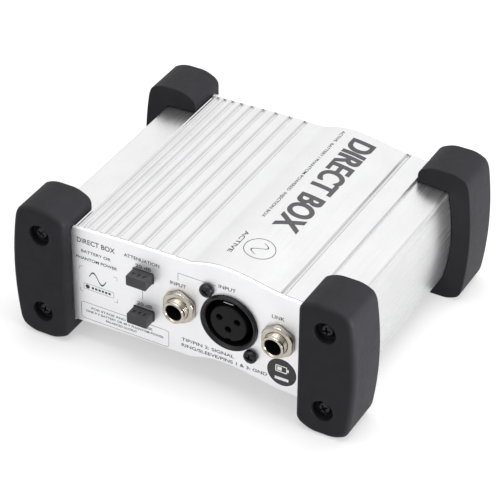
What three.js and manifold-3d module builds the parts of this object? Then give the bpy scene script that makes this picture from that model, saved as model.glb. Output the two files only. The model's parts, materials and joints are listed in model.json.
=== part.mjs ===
// Active direct injection box: an extruded aluminium sleeve closed by two end panels and
// guarded by four rubber corners, with its sockets, switches, boards and battery inside.
// Millimetres, +Z up. X runs across the box and the input panel faces -Y. The origin is on
// the surface that the box stands on, under the middle of its outline.

import * as THREE from 'three';
import { ConvexGeometry } from 'three/addons/geometries/ConvexGeometry.js';
import { RoundedBoxGeometry } from 'three/addons/geometries/RoundedBoxGeometry.js';
import { mergeVertices } from 'three/addons/utils/BufferGeometryUtils.js';
import Module from 'manifold-3d';

const wasm = await Module();
wasm.setup();

// ---- Driving dimensions ----

const WIDTH = 149;
const DEPTH = 121.6;
const HEIGHT = 60;
const MID_Z = HEIGHT / 2;
const GAP = 0.3;
const PAST = 1;

// Sleeve: a grooved, slightly crowned deck with one wave, and bulging sides. The rises of the
// strips, shoulders and sides are from the middle plane; the deck's edge is a height.
const SLEEVE_LENGTH = 106;
const WALL = 2.2;
const DECK_HALF = 50;
const DECK_EDGE_Z = 53;
const DECK_TO_UNDERSIDE = 44;
const DECK_STEP = 4;
const CROWN = 1.4;
const WAVE_HEIGHT = 2.8;
const WAVE_START = 2;
const CREST_START = 15.5;
const CREST_END = 17.5;
const WAVE_END = 43;
const STRIP_RISE = 21.6;
const SHOULDER_X = 62;
const SHOULDER_RISE = 21;
const SIDE_X = 64.2;
const SIDE_RISE = 18.4;
const SIDE_BULGE = 2.1;
const GROOVE_COUNT = 10;
const GROOVE_FIRST = -49.5;
const GROOVE_PITCH = 2.66;
const GROOVE_PITCH_GROWTH = 0.54;
const LONE_GROOVE_X = 40.4;
const GROOVE_WIDTH = 2.4;
const GROOVE_FLOOR = 0.7;
const GROOVE_DEPTH = 1.1;
const BOSS_X = 61.5;
const BOSS_RISE = 18.2;
const BOSS_RADIUS = 2.7;
const RIB_THICKNESS = 1.1;
const RIB_OVERLAP = 1.5;

// End panels.
const PANEL_THICKNESS = 1.5;
const PANEL_FACE = SLEEVE_LENGTH / 2 + GAP + PANEL_THICKNESS;
const BEHIND_PANEL = PANEL_THICKNESS + GAP;

// Corner guards.
const GUARD_INNER_X = DECK_HALF + GAP;
const GUARD_REACH = 21;
const GUARD_ROUND = 2.3;
const GUARD_CORNER = 5.5;
const GUARD_LAND = [59, 64];
const GUARD_ARCH = [[53.6, 1.4], [70.6, 2]];
const GUARD_SHOULDER = [WIDTH / 2 - 1.8, 6.5];
const GUARD_KNEE = 0.6;
const COUNTERBORE_RADIUS = 4.5;
const COUNTERBORE_DEPTH = 4.2;

// Screws: 3 mm, cross recessed.
const SHANK_RADIUS = 1.4;
const SCREW_HOLE_RADIUS = 1.8;
const SCREW_HEAD_RADIUS = 2.8;
const SCREW_HEAD_HEIGHT = 2.1;
const SCREW_TIP = 0.8;
const RECESS_ARM = 1.6;
const RECESS_HALF_WIDTH = 0.38;
const RECESS_DEPTH = 1.1;
const GUARD_SCREW_LENGTH = 19;
const SOCKET_SCREW_LENGTH = 7.5;

// Connectors, on one line across the input panel.
const CONNECTOR_Z = 33.2;
const XLR_X = 18.9;
const JACK_PITCH = 21.2;
const [INPUT_JACK_X, LINK_JACK_X] = [XLR_X - JACK_PITCH, XLR_X + JACK_PITCH];
const XLR_RIM_RADIUS = 12;
const XLR_RIM_PROUD = 1.6;
const XLR_BARREL_RADIUS = 11.5;
const XLR_FLANGE_WIDTH = 26;
const XLR_FLANGE_HEIGHT = 31;
const XLR_FLANGE_THICKNESS = 2.5;
const XLR_SCREW_X = 9.5;
const XLR_SCREW_Z = 12;
const XLR_DEPTH = 22;
const XLR_FEMALE_BORE = 10.25;
const XLR_MALE_BORE = 9.4;
const XLR_PIN_RADIUS = 1.2;
const XLR_CONTACTS = [[-3.8, 1.9], [3.8, 1.9], [0, -2.6]];
const JACK_BORE = 3.3;
const JACK_THREAD = 4.7;
const JACK_PROUD = 5.8;
const JACK_THREAD_INSIDE = 2.7;
const JACK_CLEARANCE = 0.4;
const JACK_HOUSING = 14.4;
const JACK_HOUSING_LENGTH = 24;
const JACK_NUT_FLATS = 13;
const JACK_NUT_THICKNESS = 2.4;

// Push switches: the caps stand proud of the panel and travel into it.
const CAP_WIDTH = 8.7;
const CAP_HEIGHT = 4.5;
const CAP_PROUD = 5.6;
const CAP_LENGTH = 8.2;
const CAP_CLEARANCE = 0.35;
const PLUNGER = 3;
const SWITCH_WIDTH = 8.4;
const SWITCH_FRONT = 6;
const SWITCH_LENGTH = 8;
const PAD_X = -18.6;
const PAD_UPPER_Z = 41.2;
const PAD_LOWER_Z = 23.3;
const REAR_SWITCH_Z = 23.3;
const GROUND_LIFT_X = -14;
const POWER_X = -32;
const LED_X = -46;
const LED_Z = 25;
const LED_RADIUS = 1.5;

// Boards.
const BOARD_Z = 16.8;
const BOARD_THICKNESS = 1.6;
const BOARD_TOP = BOARD_Z + BOARD_THICKNESS;
const ON_BOARD = BOARD_TOP + GAP;
const BOARD_HALF_WIDTH = 61.3;
const BOARD_LENGTH = 96;
const PAD_BOARD_Y = -(PANEL_FACE - SWITCH_FRONT - SWITCH_LENGTH) + GAP;

const PAD_BOARD_SIDES = [9, 7];
const PAD_BOARD_ABOVE = 5;
const TRANSFORMER_AT = [8, 12];
const CAPACITOR_COUNT = 3;
const CAPACITOR_AT = [28, -14];
const CAPACITOR_PITCH = 10;
const AMPLIFIER_X = 42;
const AMPLIFIER_FRONT_Y = 2;
const AMPLIFIER_REAR_Y = 16;

// Battery: a 9 V block.
const BATTERY_SIZE = [26.5, 45.5, 17.5];
const BATTERY_X = -43.75;
const BATTERY_Y = 0;
const TERMINAL_SPACING = 12.7;
const TERMINAL_HEIGHT = 2.4;
const STUD_RADIUS = 2.9;
const SOCKET_RADIUS = 3.8;
const SNAP_COVER = 1.4;

// ---- Materials ----

const finish = (color, roughness, metalness) =>
  new THREE.MeshStandardMaterial({ color, roughness, metalness });

const ANODISED = [0xe8e8ea, 0.4, 0.6];
const PAINTED_PANEL = [0xe2e4e8, 0.5, 0.3];
const RUBBER = [0x2e2d32, 0.75, 0];
const BLACK_METAL = [0x1b1b1d, 0.45, 0.5];
const BLACK_PLASTIC = [0x202022, 0.5, 0];
const CAP_PLASTIC = [0x3d3d3f, 0.55, 0];
const NICKEL = [0xcfc4b4, 0.25, 1];
const STEEL = [0xb9bbbd, 0.3, 1];
const BOARD_GREEN = [0x1f5a37, 0.5, 0];
const COPPER = [0xa9672c, 0.4, 0.6];
const RED_LENS = [0xb5221b, 0.2, 0];
const RED_PLASTIC = [0xa01d1d, 0.5, 0];
const SHRINK_SLEEVE = [0x27365e, 0.4, 0];

// ---- Solids ----

// A closed three.js geometry as a solid that can be joined and cut.
function solid(geometry) {
  const bare = geometry.index ? geometry.toNonIndexed() : geometry.clone();
  bare.deleteAttribute('normal');
  bare.deleteAttribute('uv');
  const merged = mergeVertices(bare, 1e-4);
  const corners = merged.index.array;
  const faces = [];
  for (let i = 0; i < corners.length; i += 3) {
    const [a, b, c] = corners.slice(i, i + 3);
    if (a !== b && b !== c && c !== a) faces.push(a, b, c);
  }
  return new wasm.Manifold(new wasm.Mesh({
    numProp: 3,
    vertProperties: merged.attributes.position.array,
    triVerts: new Uint32Array(faces),
  }));
}

// A solid as a named mesh.
function piece(name, body, look) {
  const { vertProperties, triVerts } = body.getMesh();
  const geometry = new THREE.BufferGeometry();
  geometry.setAttribute('position', new THREE.BufferAttribute(vertProperties, 3));
  geometry.setIndex(new THREE.BufferAttribute(triVerts, 1));
  geometry.computeVertexNormals();
  const mesh = new THREE.Mesh(geometry, finish(...look));
  mesh.name = name;
  return mesh;
}

// An outline drawn in X and Z, extruded along Y from y0 to y1.
function slab(shape, y0, y1) {
  const geometry = new THREE.ExtrudeGeometry(shape, {
    depth: y1 - y0,
    bevelEnabled: false,
    curveSegments: 5,
  });
  return solid(geometry.rotateX(Math.PI / 2).translate(0, y1, 0));
}

// A box given by its lowest and highest corners.
function block(low, high) {
  const size = high.map((value, axis) => value - low[axis]);
  const middle = high.map((value, axis) => (value + low[axis]) / 2);
  return solid(new THREE.BoxGeometry(...size).translate(...middle));
}

// A round bar along Y.
function barY(radius, y0, y1, x = 0, z = 0, sides = 24) {
  const geometry = new THREE.CylinderGeometry(radius, radius, y1 - y0, sides);
  return solid(geometry.translate(x, (y0 + y1) / 2, z));
}

// A round bar along Z.
function barZ(radius, z0, z1, x, y, sides = 16) {
  const geometry = new THREE.CylinderGeometry(radius, radius, z1 - z0, sides);
  return solid(geometry.rotateX(Math.PI / 2).translate(x, y, (z0 + z1) / 2));
}

// A profile of [radius, y] corners, turned about the Y axis.
function turned(profile, sides = 24) {
  const points = profile.map(([radius, y]) => new THREE.Vector2(radius, y));
  return solid(new THREE.LatheGeometry(points, sides));
}

// A strip whose edge is drawn in Y and Z, centred on x.
function bentStrip(shape, width, x) {
  const geometry = new THREE.ExtrudeGeometry(shape, {
    depth: width,
    bevelEnabled: false,
    curveSegments: 5,
  });
  geometry.applyMatrix4(new THREE.Matrix4().set(
    0, 0, 1, x - width / 2,
    1, 0, 0, 0,
    0, 1, 0, 0,
    0, 0, 0, 1,
  ));
  return solid(geometry);
}

// A round lead along a smooth path through the given points.
function lead(points, radius, steps) {
  const path = new THREE.CatmullRomCurve3(points.map((p) => new THREE.Vector3(...p)));
  const section = circleShape(radius);
  return solid(new THREE.ExtrudeGeometry(section, { steps, extrudePath: path }));
}

function circleShape(radius, sides = 8) {
  const shape = new THREE.Shape();
  for (let i = 0; i < sides; i += 1) {
    const angle = (i / sides) * 2 * Math.PI;
    const corner = [radius * Math.cos(angle), radius * Math.sin(angle)];
    if (i === 0) shape.moveTo(...corner);
    else shape.lineTo(...corner);
  }
  return shape.closePath();
}

// A group whose origin is on an end panel's outer face. Its -Y points out of the box.
function atPanel(rear, x, z, ...meshes) {
  const group = new THREE.Group();
  group.position.set(x, rear ? PANEL_FACE : -PANEL_FACE, z);
  if (rear) group.rotation.z = Math.PI;
  if (meshes.length) group.add(...meshes);
  return group;
}

// ---- Sleeve and end panels ----

// Height of the wave above the slightly crowned deck.
function wave(x) {
  if (x <= WAVE_START || x >= WAVE_END) return 0;
  if (x < CREST_START) {
    const rise = (x - WAVE_START) / (CREST_START - WAVE_START);
    return WAVE_HEIGHT * Math.sin(rise * Math.PI / 2);
  }
  const fall = Math.max(0, (x - CREST_END) / (WAVE_END - CREST_END));
  return WAVE_HEIGHT * (1 + Math.cos(fall * Math.PI)) / 2;
}

// Height of the deck's surface.
function deckTop(x) {
  return DECK_EDGE_Z + CROWN * (1 - (x / DECK_HALF) ** 2) + wave(x);
}

// Section of the box across its width, drawn inwards of the true outline by inset. The
// underside repeats the deck, so a box stands over the wave of the one below it.
function bodyShape(inset) {
  const deckHalf = DECK_HALF - inset;
  const steps = Math.round(2 * deckHalf / DECK_STEP);
  const shape = new THREE.Shape();
  const flank = (side, top) => [
    [side * deckHalf, MID_Z + top * (STRIP_RISE - inset)],
    [side * (SHOULDER_X - inset), MID_Z + top * (SHOULDER_RISE - inset)],
    [side * (SIDE_X - inset), MID_Z + top * (SHOULDER_RISE - inset)],
    [side * (SIDE_X - inset), MID_Z + top * SIDE_RISE],
  ];
  for (let i = 0; i <= steps; i += 1) {
    const x = -deckHalf + (i / steps) * 2 * deckHalf;
    const z = deckTop(x) - inset;
    if (i === 0) shape.moveTo(x, z);
    else shape.lineTo(x, z);
  }
  drawFlank(shape, flank(1, 1), flank(1, -1), inset, 1);
  for (let i = steps; i >= 0; i -= 1) {
    const x = -deckHalf + (i / steps) * 2 * deckHalf;
    shape.lineTo(x, deckTop(x) - DECK_TO_UNDERSIDE + inset);
  }
  drawFlank(shape, flank(-1, -1), flank(-1, 1), inset, -1);
  return shape.closePath();
}

// One bulging side of the section, from its first strip round to its second.
function drawFlank(shape, first, second, inset, side) {
  const bulgeControl = side * (SIDE_X - inset + 2 * SIDE_BULGE);
  shape.lineTo(...first[0]);
  shape.lineTo(...first[1]);
  shape.quadraticCurveTo(...first[2], ...first[3]);
  shape.quadraticCurveTo(bulgeControl, MID_Z, ...second[3]);
  shape.quadraticCurveTo(...second[2], ...second[1]);
  shape.lineTo(...second[0]);
}

// Centres of the deck's lengthways grooves, spreading apart towards the wave.
function grooveCentres() {
  const centres = [GROOVE_FIRST];
  for (let i = 0; i < GROOVE_COUNT - 1; i += 1) {
    centres.push(centres[i] + GROOVE_PITCH + i * GROOVE_PITCH_GROWTH);
  }
  return [...centres, LONE_GROOVE_X];
}

function groove(x) {
  const top = deckTop(x) + GROOVE_DEPTH;
  const floor = deckTop(x) - GROOVE_DEPTH;
  const mouth = GROOVE_WIDTH - GROOVE_FLOOR / 2;
  const shape = new THREE.Shape();
  shape.moveTo(x - mouth, top);
  shape.lineTo(x - GROOVE_FLOOR / 2, floor);
  shape.lineTo(x + GROOVE_FLOOR / 2, floor);
  shape.lineTo(x + mouth, top);
  return slab(shape.closePath(), -SLEEVE_LENGTH / 2 - PAST, SLEEVE_LENGTH / 2 + PAST);
}

// The four screw places of an end, as [x, z].
const SCREW_PLACES = [1, -1].flatMap((side) =>
  [1, -1].map((top) => [side * BOSS_X, MID_Z + top * BOSS_RISE]));

// Ribs on a side wall that hold the main board's edge.
function boardRibs(side) {
  const half = SLEEVE_LENGTH / 2;
  const inner = BOARD_HALF_WIDTH - RIB_OVERLAP;
  const outer = SIDE_X;
  const low = Math.min(side * inner, side * outer);
  const high = Math.max(side * inner, side * outer);
  const under = block([low, -half, BOARD_Z - GAP - RIB_THICKNESS], [high, half, BOARD_Z - GAP]);
  const over = block([low, -half, ON_BOARD], [high, half, ON_BOARD + RIB_THICKNESS]);
  return under.add(over);
}

function sleeve() {
  const half = SLEEVE_LENGTH / 2;
  let body = slab(bodyShape(0), -half, half);
  body = body.subtract(slab(bodyShape(WALL), -half - PAST, half + PAST));
  for (const [x, z] of SCREW_PLACES) body = body.add(barY(BOSS_RADIUS, -half, half, x, z, 14));
  for (const side of [-1, 1]) body = body.add(boardRibs(side));
  for (const [x, z] of SCREW_PLACES) {
    body = body.subtract(barY(SCREW_HOLE_RADIUS, -half - PAST, half + PAST, x, z, 12));
  }
  for (const x of grooveCentres()) body = body.subtract(groove(x));
  return piece('enclosure_sleeve', body, ANODISED);
}

// A panel blank in place at the front, with its four screw holes.
function panelBlank(y0) {
  const y1 = y0 + PANEL_THICKNESS;
  let body = slab(bodyShape(0), y0, y1);
  for (const [x, z] of SCREW_PLACES) {
    body = body.subtract(barY(SCREW_HOLE_RADIUS, y0 - PAST, y1 + PAST, x, z, 12));
  }
  return body;
}

// What a panel loses for an XLR connector: the rim's hole and two screw holes.
function xlrCut(x, y, mirror) {
  const hole = (radius, dx, dz, sides) =>
    barY(radius, y - 2 * PAST, y + PANEL_THICKNESS + PAST, x + dx, CONNECTOR_Z + dz, sides);
  const across = mirror * XLR_SCREW_X;
  return hole(XLR_RIM_RADIUS + GAP, 0, 0, 32)
    .add(hole(SCREW_HOLE_RADIUS, -across, XLR_SCREW_Z, 12))
    .add(hole(SCREW_HOLE_RADIUS, across, -XLR_SCREW_Z, 12));
}

function capSlot(x, y, z) {
  const halfWidth = CAP_WIDTH / 2 + CAP_CLEARANCE;
  const halfHeight = CAP_HEIGHT / 2 + CAP_CLEARANCE;
  return block(
    [x - halfWidth, y - PAST, z - halfHeight],
    [x + halfWidth, y + PANEL_THICKNESS + PAST, z + halfHeight],
  );
}

function frontPanel() {
  const y = -PANEL_FACE;
  let body = panelBlank(y).subtract(xlrCut(XLR_X, y, 1));
  for (const x of [INPUT_JACK_X, LINK_JACK_X]) {
    body = body.subtract(
      barY(JACK_THREAD + GAP, y - PAST, y + PANEL_THICKNESS + PAST, x, CONNECTOR_Z, 20),
    );
  }
  for (const z of [PAD_UPPER_Z, PAD_LOWER_Z]) body = body.subtract(capSlot(PAD_X, y, z));
  return piece('front_panel', body, PAINTED_PANEL);
}

function rearPanel() {
  const y = PANEL_FACE - PANEL_THICKNESS;
  let body = panelBlank(y).subtract(xlrCut(XLR_X, y, -1));
  for (const x of [GROUND_LIFT_X, POWER_X]) body = body.subtract(capSlot(x, y, REAR_SWITCH_Z));
  body = body.subtract(
    barY(LED_RADIUS + GAP, y - PAST, y + PANEL_THICKNESS + PAST, LED_X, LED_Z, 16),
  );
  return piece('rear_panel', body, PAINTED_PANEL);
}

// ---- Corner guards and screws ----

// Outline of a guard seen from the front: a straight inner edge, arched ends and a bulging
// outer side. The ends are flat in the middle, where the box stands.
function guardOutline() {
  const [landStart, landEnd] = GUARD_LAND;
  const [[innerX, innerDrop], [outerX, outerDrop]] = GUARD_ARCH;
  const [shoulderX, shoulderDrop] = GUARD_SHOULDER;
  const knee = [shoulderX - GUARD_KNEE, shoulderDrop / 2];
  const low = (drop) => drop;
  const high = (drop) => HEIGHT - drop;
  const outline = new THREE.Path();
  outline.moveTo(GUARD_INNER_X, low(GUARD_CORNER));
  outline.lineTo(GUARD_INNER_X, high(GUARD_CORNER));
  outline.quadraticCurveTo(GUARD_INNER_X, high(GUARD_CORNER / 2), innerX, high(innerDrop));
  outline.quadraticCurveTo((innerX + landStart) / 2, high(0), landStart, high(0));
  outline.lineTo(landEnd, high(0));
  outline.quadraticCurveTo((landEnd + outerX) / 2, high(0), outerX, high(outerDrop));
  outline.quadraticCurveTo(knee[0], high(knee[1]), shoulderX, high(shoulderDrop));
  outline.quadraticCurveTo(WIDTH - shoulderX, MID_Z, shoulderX, low(shoulderDrop));
  outline.quadraticCurveTo(knee[0], low(knee[1]), outerX, low(outerDrop));
  outline.quadraticCurveTo((landEnd + outerX) / 2, low(0), landEnd, low(0));
  outline.lineTo(landStart, low(0));
  outline.quadraticCurveTo((innerX + landStart) / 2, low(0), innerX, low(innerDrop));
  outline.quadraticCurveTo(GUARD_INNER_X, low(GUARD_CORNER / 2), GUARD_INNER_X, low(GUARD_CORNER));
  return outline.getPoints(4);
}

// The guard's outer form: the outline drawn back along Y, rounded into the front face.
function guardBlock() {
  const outline = guardOutline();
  const middleX = (GUARD_INNER_X + WIDTH / 2) / 2;
  const halfX = WIDTH / 2 - middleX;
  const front = -DEPTH / 2;
  const points = [];
  const addRing = (y, inset) => {
    for (const { x, y: z } of outline) {
      points.push(new THREE.Vector3(
        middleX + (x - middleX) * (1 - inset / halfX),
        y,
        MID_Z + (z - MID_Z) * (1 - inset / MID_Z),
      ));
    }
  };
  const rings = 3;
  for (let i = 0; i <= rings; i += 1) {
    const angle = (i / rings) * Math.PI / 2;
    addRing(front + GUARD_ROUND * (1 - Math.sin(angle)), GUARD_ROUND * (1 - Math.cos(angle)));
  }
  addRing(front + GUARD_REACH, 0);
  return solid(new ConvexGeometry(points));
}

// The front right guard. A half turn about any axis of the box makes it one of the others.
function guard() {
  const front = -DEPTH / 2;
  const pocket = slab(bodyShape(-GAP), -PANEL_FACE - GAP, front + GUARD_REACH + PAST);
  let body = guardBlock().subtract(pocket);
  for (const top of [-1, 1]) {
    const z = MID_Z + top * BOSS_RISE;
    const floor = front + COUNTERBORE_DEPTH;
    body = body.subtract(barY(COUNTERBORE_RADIUS, front - PAST, floor, BOSS_X, z, 20));
    body = body.subtract(barY(SCREW_HOLE_RADIUS, floor - PAST, 0, BOSS_X, z, 12));
  }
  return body;
}

// A pan-head screw along Y, its head's underside at y = 0 and its shank towards +Y.
function screw(length) {
  const head = SCREW_HEAD_HEIGHT;
  const body = turned([
    [0, -head],
    [SCREW_HEAD_RADIUS * 0.7, -head],
    [SCREW_HEAD_RADIUS, -head / 2],
    [SCREW_HEAD_RADIUS, 0],
    [SHANK_RADIUS, 0],
    [SHANK_RADIUS, length - SCREW_TIP],
    [SHANK_RADIUS - SCREW_TIP, length],
    [0, length],
  ], 12);
  const arm = RECESS_ARM;
  const half = RECESS_HALF_WIDTH;
  const floor = RECESS_DEPTH - head;
  const across = block([-arm, -head - PAST, -half], [arm, floor, half]);
  const upright = block([-half, -head - PAST, -arm], [half, floor, arm]);
  return body.subtract(across).subtract(upright);
}

// Guards and their screws, each guard's parts turned to their corner together.
function corners() {
  const group = new THREE.Group();
  const guardBody = guard();
  const screwBody = screw(GUARD_SCREW_LENGTH);
  const turns = {
    front_right: [0, 0, 0],
    front_left: [0, Math.PI, 0],
    rear_right: [Math.PI, 0, 0],
    rear_left: [0, 0, Math.PI],
  };
  for (const [place, turn] of Object.entries(turns)) {
    const flips = turn[0] + turn[1] > 0;
    const corner = new THREE.Group();
    corner.rotation.set(...turn);
    corner.position.z = flips ? HEIGHT : 0;
    corner.add(piece(`corner_guard_${place}`, guardBody, RUBBER));
    for (const top of [-1, 1]) {
      const upper = (top > 0) !== flips;
      const level = upper ? 'upper' : 'lower';
      const mesh = piece(`guard_screw_${place}_${level}`, screwBody, BLACK_METAL);
      const seat = -DEPTH / 2 + COUNTERBORE_DEPTH - GAP;
      mesh.position.set(BOSS_X, seat, MID_Z + top * BOSS_RISE);
      corner.add(mesh);
    }
    group.add(corner);
  }
  return group;
}

// ---- Quarter-inch jacks ----

function jackFerrule() {
  const inside = BEHIND_PANEL + JACK_THREAD_INSIDE;
  const lip = 0.5;
  return turned([
    [JACK_BORE + lip, -JACK_PROUD],
    [JACK_THREAD - lip, -JACK_PROUD],
    [JACK_THREAD, -JACK_PROUD + lip],
    [JACK_THREAD, inside],
    [JACK_BORE, inside],
    [JACK_BORE, -JACK_PROUD + lip],
    [JACK_BORE + lip, -JACK_PROUD],
  ], 20);
}

function jackNut() {
  const corner = JACK_NUT_FLATS / Math.sqrt(3);
  const front = -GAP - JACK_NUT_THICKNESS;
  const chamferWidth = 0.7;
  const chamferDepth = 0.6;
  const clear = corner + 0.1;
  const hex = solid(new THREE.CylinderGeometry(corner, corner, JACK_NUT_THICKNESS, 6)
    .translate(0, -GAP - JACK_NUT_THICKNESS / 2, 0));
  const chamfer = turned([
    [0, front],
    [corner - chamferWidth, front],
    [clear, front + chamferDepth],
    [clear, -GAP],
    [0, -GAP],
  ], 24);
  const hole = barY(JACK_THREAD + GAP, -JACK_PROUD, PAST, 0, 0, 20);
  return hex.intersect(chamfer).subtract(hole);
}

// Housing behind the panel, with its seat for the ferrule and the bore for the plug.
function jackHousing() {
  const half = JACK_HOUSING / 2;
  const back = BEHIND_PANEL + JACK_HOUSING_LENGTH;
  const endWall = 1.5;
  const seatDepth = BEHIND_PANEL + JACK_THREAD_INSIDE + JACK_CLEARANCE;
  const body = block([-half, BEHIND_PANEL, -half], [half, back, half]);
  const seat = barY(JACK_THREAD + JACK_CLEARANCE, 0, seatDepth, 0, 0, 20);
  const bore = barY(JACK_BORE, 0, back - endWall, 0, 0, 20);
  return body.subtract(seat).subtract(bore);
}

function jack(name, x) {
  return atPanel(
    false,
    x,
    CONNECTOR_Z,
    piece(`${name}_jack_ferrule`, jackFerrule(), NICKEL),
    piece(`${name}_jack_nut`, jackNut(), NICKEL),
    piece(`${name}_jack_housing`, jackHousing(), BLACK_PLASTIC),
  );
}

// ---- XLR connectors ----

// Rim through the panel, square flange behind it and a barrel with an open back.
function xlrShell(bore) {
  const rim = barY(XLR_RIM_RADIUS, -XLR_RIM_PROUD, BEHIND_PANEL + PAST, 0, 0, 32);
  const flangeBack = BEHIND_PANEL + XLR_FLANGE_THICKNESS;
  const flange = block(
    [-XLR_FLANGE_WIDTH / 2, BEHIND_PANEL, -XLR_FLANGE_HEIGHT / 2],
    [XLR_FLANGE_WIDTH / 2, flangeBack, XLR_FLANGE_HEIGHT / 2],
  );
  const barrel = barY(XLR_BARREL_RADIUS, flangeBack - PAST, XLR_DEPTH, 0, 0, 28);
  let body = rim.add(flange).add(barrel);
  body = body.subtract(barY(bore, -XLR_RIM_PROUD - PAST, XLR_DEPTH + PAST, 0, 0, 28));
  for (const side of [-1, 1]) {
    const x = -side * XLR_SCREW_X;
    const z = side * XLR_SCREW_Z;
    body = body.subtract(barY(SCREW_HOLE_RADIUS, 0, flangeBack + PAST, x, z, 12));
  }
  return body;
}

// Round insert of the female connector, with three blind sockets and a wider back.
function xlrInsert() {
  const face = -XLR_RIM_PROUD + 0.5;
  const faceRadius = 7.8;
  const edge = 0.4;
  const seatY = 15;
  const seatRadius = XLR_FEMALE_BORE - GAP;
  const back = XLR_DEPTH - PAST;
  const socketRadius = 1.4;
  const socketEnd = 12;
  let body = turned([
    [0, face],
    [faceRadius - edge, face],
    [faceRadius, face + edge],
    [faceRadius, seatY],
    [seatRadius, seatY],
    [seatRadius, back],
    [0, back],
  ], 24);
  for (const [x, z] of XLR_CONTACTS) {
    body = body.subtract(barY(socketRadius, face - PAST, socketEnd, x, z, 12));
  }
  return body;
}

// Bent spring strip in the gap above the insert that holds a plug in.
function xlrSpring() {
  const thickness = 0.4;
  const top = 9.4;
  const catchDip = 0.7;
  const front = -0.9;
  const catchY = 1.2;
  const flatY = 4.4;
  const back = 13;
  const width = 4.2;
  const strip = new THREE.Shape();
  strip.moveTo(front, top);
  strip.lineTo(front, top - thickness);
  strip.lineTo(catchY, top - catchDip - thickness);
  strip.lineTo(flatY, top - thickness);
  strip.lineTo(back, top - thickness);
  strip.lineTo(back, top);
  strip.lineTo(flatY, top);
  strip.lineTo(catchY, top - catchDip);
  return bentStrip(strip.closePath(), width, 0);
}

// Disc at the foot of the male connector's cup, with a hole for each pin.
function xlrInsulator() {
  const front = 13;
  const back = 17;
  const holeRadius = XLR_PIN_RADIUS + GAP;
  let body = barY(XLR_MALE_BORE - GAP, front, back, 0, 0, 24);
  for (const [x, z] of XLR_CONTACTS) {
    body = body.subtract(barY(holeRadius, front - PAST, back + PAST, x, z, 10));
  }
  return body;
}

function xlrPin() {
  const tip = 1.5;
  const taper = 0.7;
  const back = XLR_DEPTH + 2;
  return turned([
    [0, tip],
    [XLR_PIN_RADIUS * 0.6, tip],
    [XLR_PIN_RADIUS, tip + taper],
    [XLR_PIN_RADIUS, back],
    [0, back],
  ], 10);
}

function xlrScrews(name) {
  const body = screw(SOCKET_SCREW_LENGTH);
  return [1, -1].map((side) => {
    const mesh = piece(`${name}_screw_${side > 0 ? 'upper' : 'lower'}`, body, BLACK_METAL);
    mesh.position.set(-side * XLR_SCREW_X, -GAP, side * XLR_SCREW_Z);
    return mesh;
  });
}

function inputXlr() {
  return atPanel(
    false,
    XLR_X,
    CONNECTOR_Z,
    piece('input_xlr_shell', xlrShell(XLR_FEMALE_BORE), BLACK_METAL),
    piece('input_xlr_insert', xlrInsert(), BLACK_PLASTIC),
    piece('input_xlr_retaining_spring', xlrSpring(), STEEL),
    ...xlrScrews('input_xlr'),
  );
}

function outputXlr() {
  const group = atPanel(
    true,
    XLR_X,
    CONNECTOR_Z,
    piece('output_xlr_shell', xlrShell(XLR_MALE_BORE), BLACK_METAL),
    piece('output_xlr_insulator', xlrInsulator(), BLACK_PLASTIC),
    ...xlrScrews('output_xlr'),
  );
  const pinBody = xlrPin();
  XLR_CONTACTS.forEach(([x, z], i) => {
    const pin = piece(`output_xlr_pin_${i + 1}`, pinBody, NICKEL);
    pin.position.set(x, 0, z);
    group.add(pin);
  });
  return group;
}

// ---- Push switches and light ----

// Cap with the plunger that carries it, at its outer position.
function switchCap() {
  const cap = solid(new RoundedBoxGeometry(CAP_WIDTH, CAP_LENGTH, CAP_HEIGHT, 1, 0.5)
    .translate(0, CAP_LENGTH / 2 - CAP_PROUD, 0));
  const half = PLUNGER / 2;
  const strokeRoom = 4.2;
  const back = SWITCH_FRONT + SWITCH_LENGTH - strokeRoom;
  return cap.add(block([-half, 0, -half], [half, back, half]));
}

// Switch body behind the panel, with the hole that the plunger slides in. It reaches down
// by foot below its axis.
function switchBody(foot) {
  const half = SWITCH_WIDTH / 2;
  const back = SWITCH_FRONT + SWITCH_LENGTH;
  const hole = PLUNGER / 2 + CAP_CLEARANCE;
  const body = block([-half, SWITCH_FRONT, -foot], [half, back, half]);
  return body.subtract(block([-hole, 0, -hole], [hole, back - 1, hole]));
}

function pushSwitch(name, rear, x, z, foot) {
  return atPanel(
    rear,
    x,
    z,
    piece(`${name}_cap`, switchCap(), CAP_PLASTIC),
    piece(`${name}_switch`, switchBody(foot), BLACK_PLASTIC),
  );
}

// Round light with a collar behind the panel and two legs bent down to the main board.
function statusLed() {
  const collar = BEHIND_PANEL + 1;
  const back = BEHIND_PANEL + 3;
  const collarRadius = LED_RADIUS + 0.5;
  const leg = 0.25;
  const legX = 0.9;
  const legEnd = back + 5;
  let body = turned([
    [0, -1.6],
    [LED_RADIUS * 0.7, -1.3],
    [LED_RADIUS, -0.4],
    [LED_RADIUS, BEHIND_PANEL],
    [collarRadius, BEHIND_PANEL],
    [collarRadius, collar],
    [LED_RADIUS, collar],
    [LED_RADIUS, back],
    [0, back],
  ], 12);
  for (const x of [-legX, legX]) {
    const run = block([x - leg, back - PAST, -leg], [x + leg, legEnd, leg]);
    const drop = block([x - leg, legEnd - 2 * leg, ON_BOARD - LED_Z], [x + leg, legEnd, leg]);
    body = body.add(run).add(drop);
  }
  return atPanel(true, LED_X, LED_Z, piece('status_led', body, RED_LENS));
}

// ---- Boards and what stands on them ----

function mainBoard() {
  const half = BOARD_LENGTH / 2;
  const body = block([-BOARD_HALF_WIDTH, -half, BOARD_Z], [BOARD_HALF_WIDTH, half, BOARD_TOP]);
  return piece('main_board', body, BOARD_GREEN);
}

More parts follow.
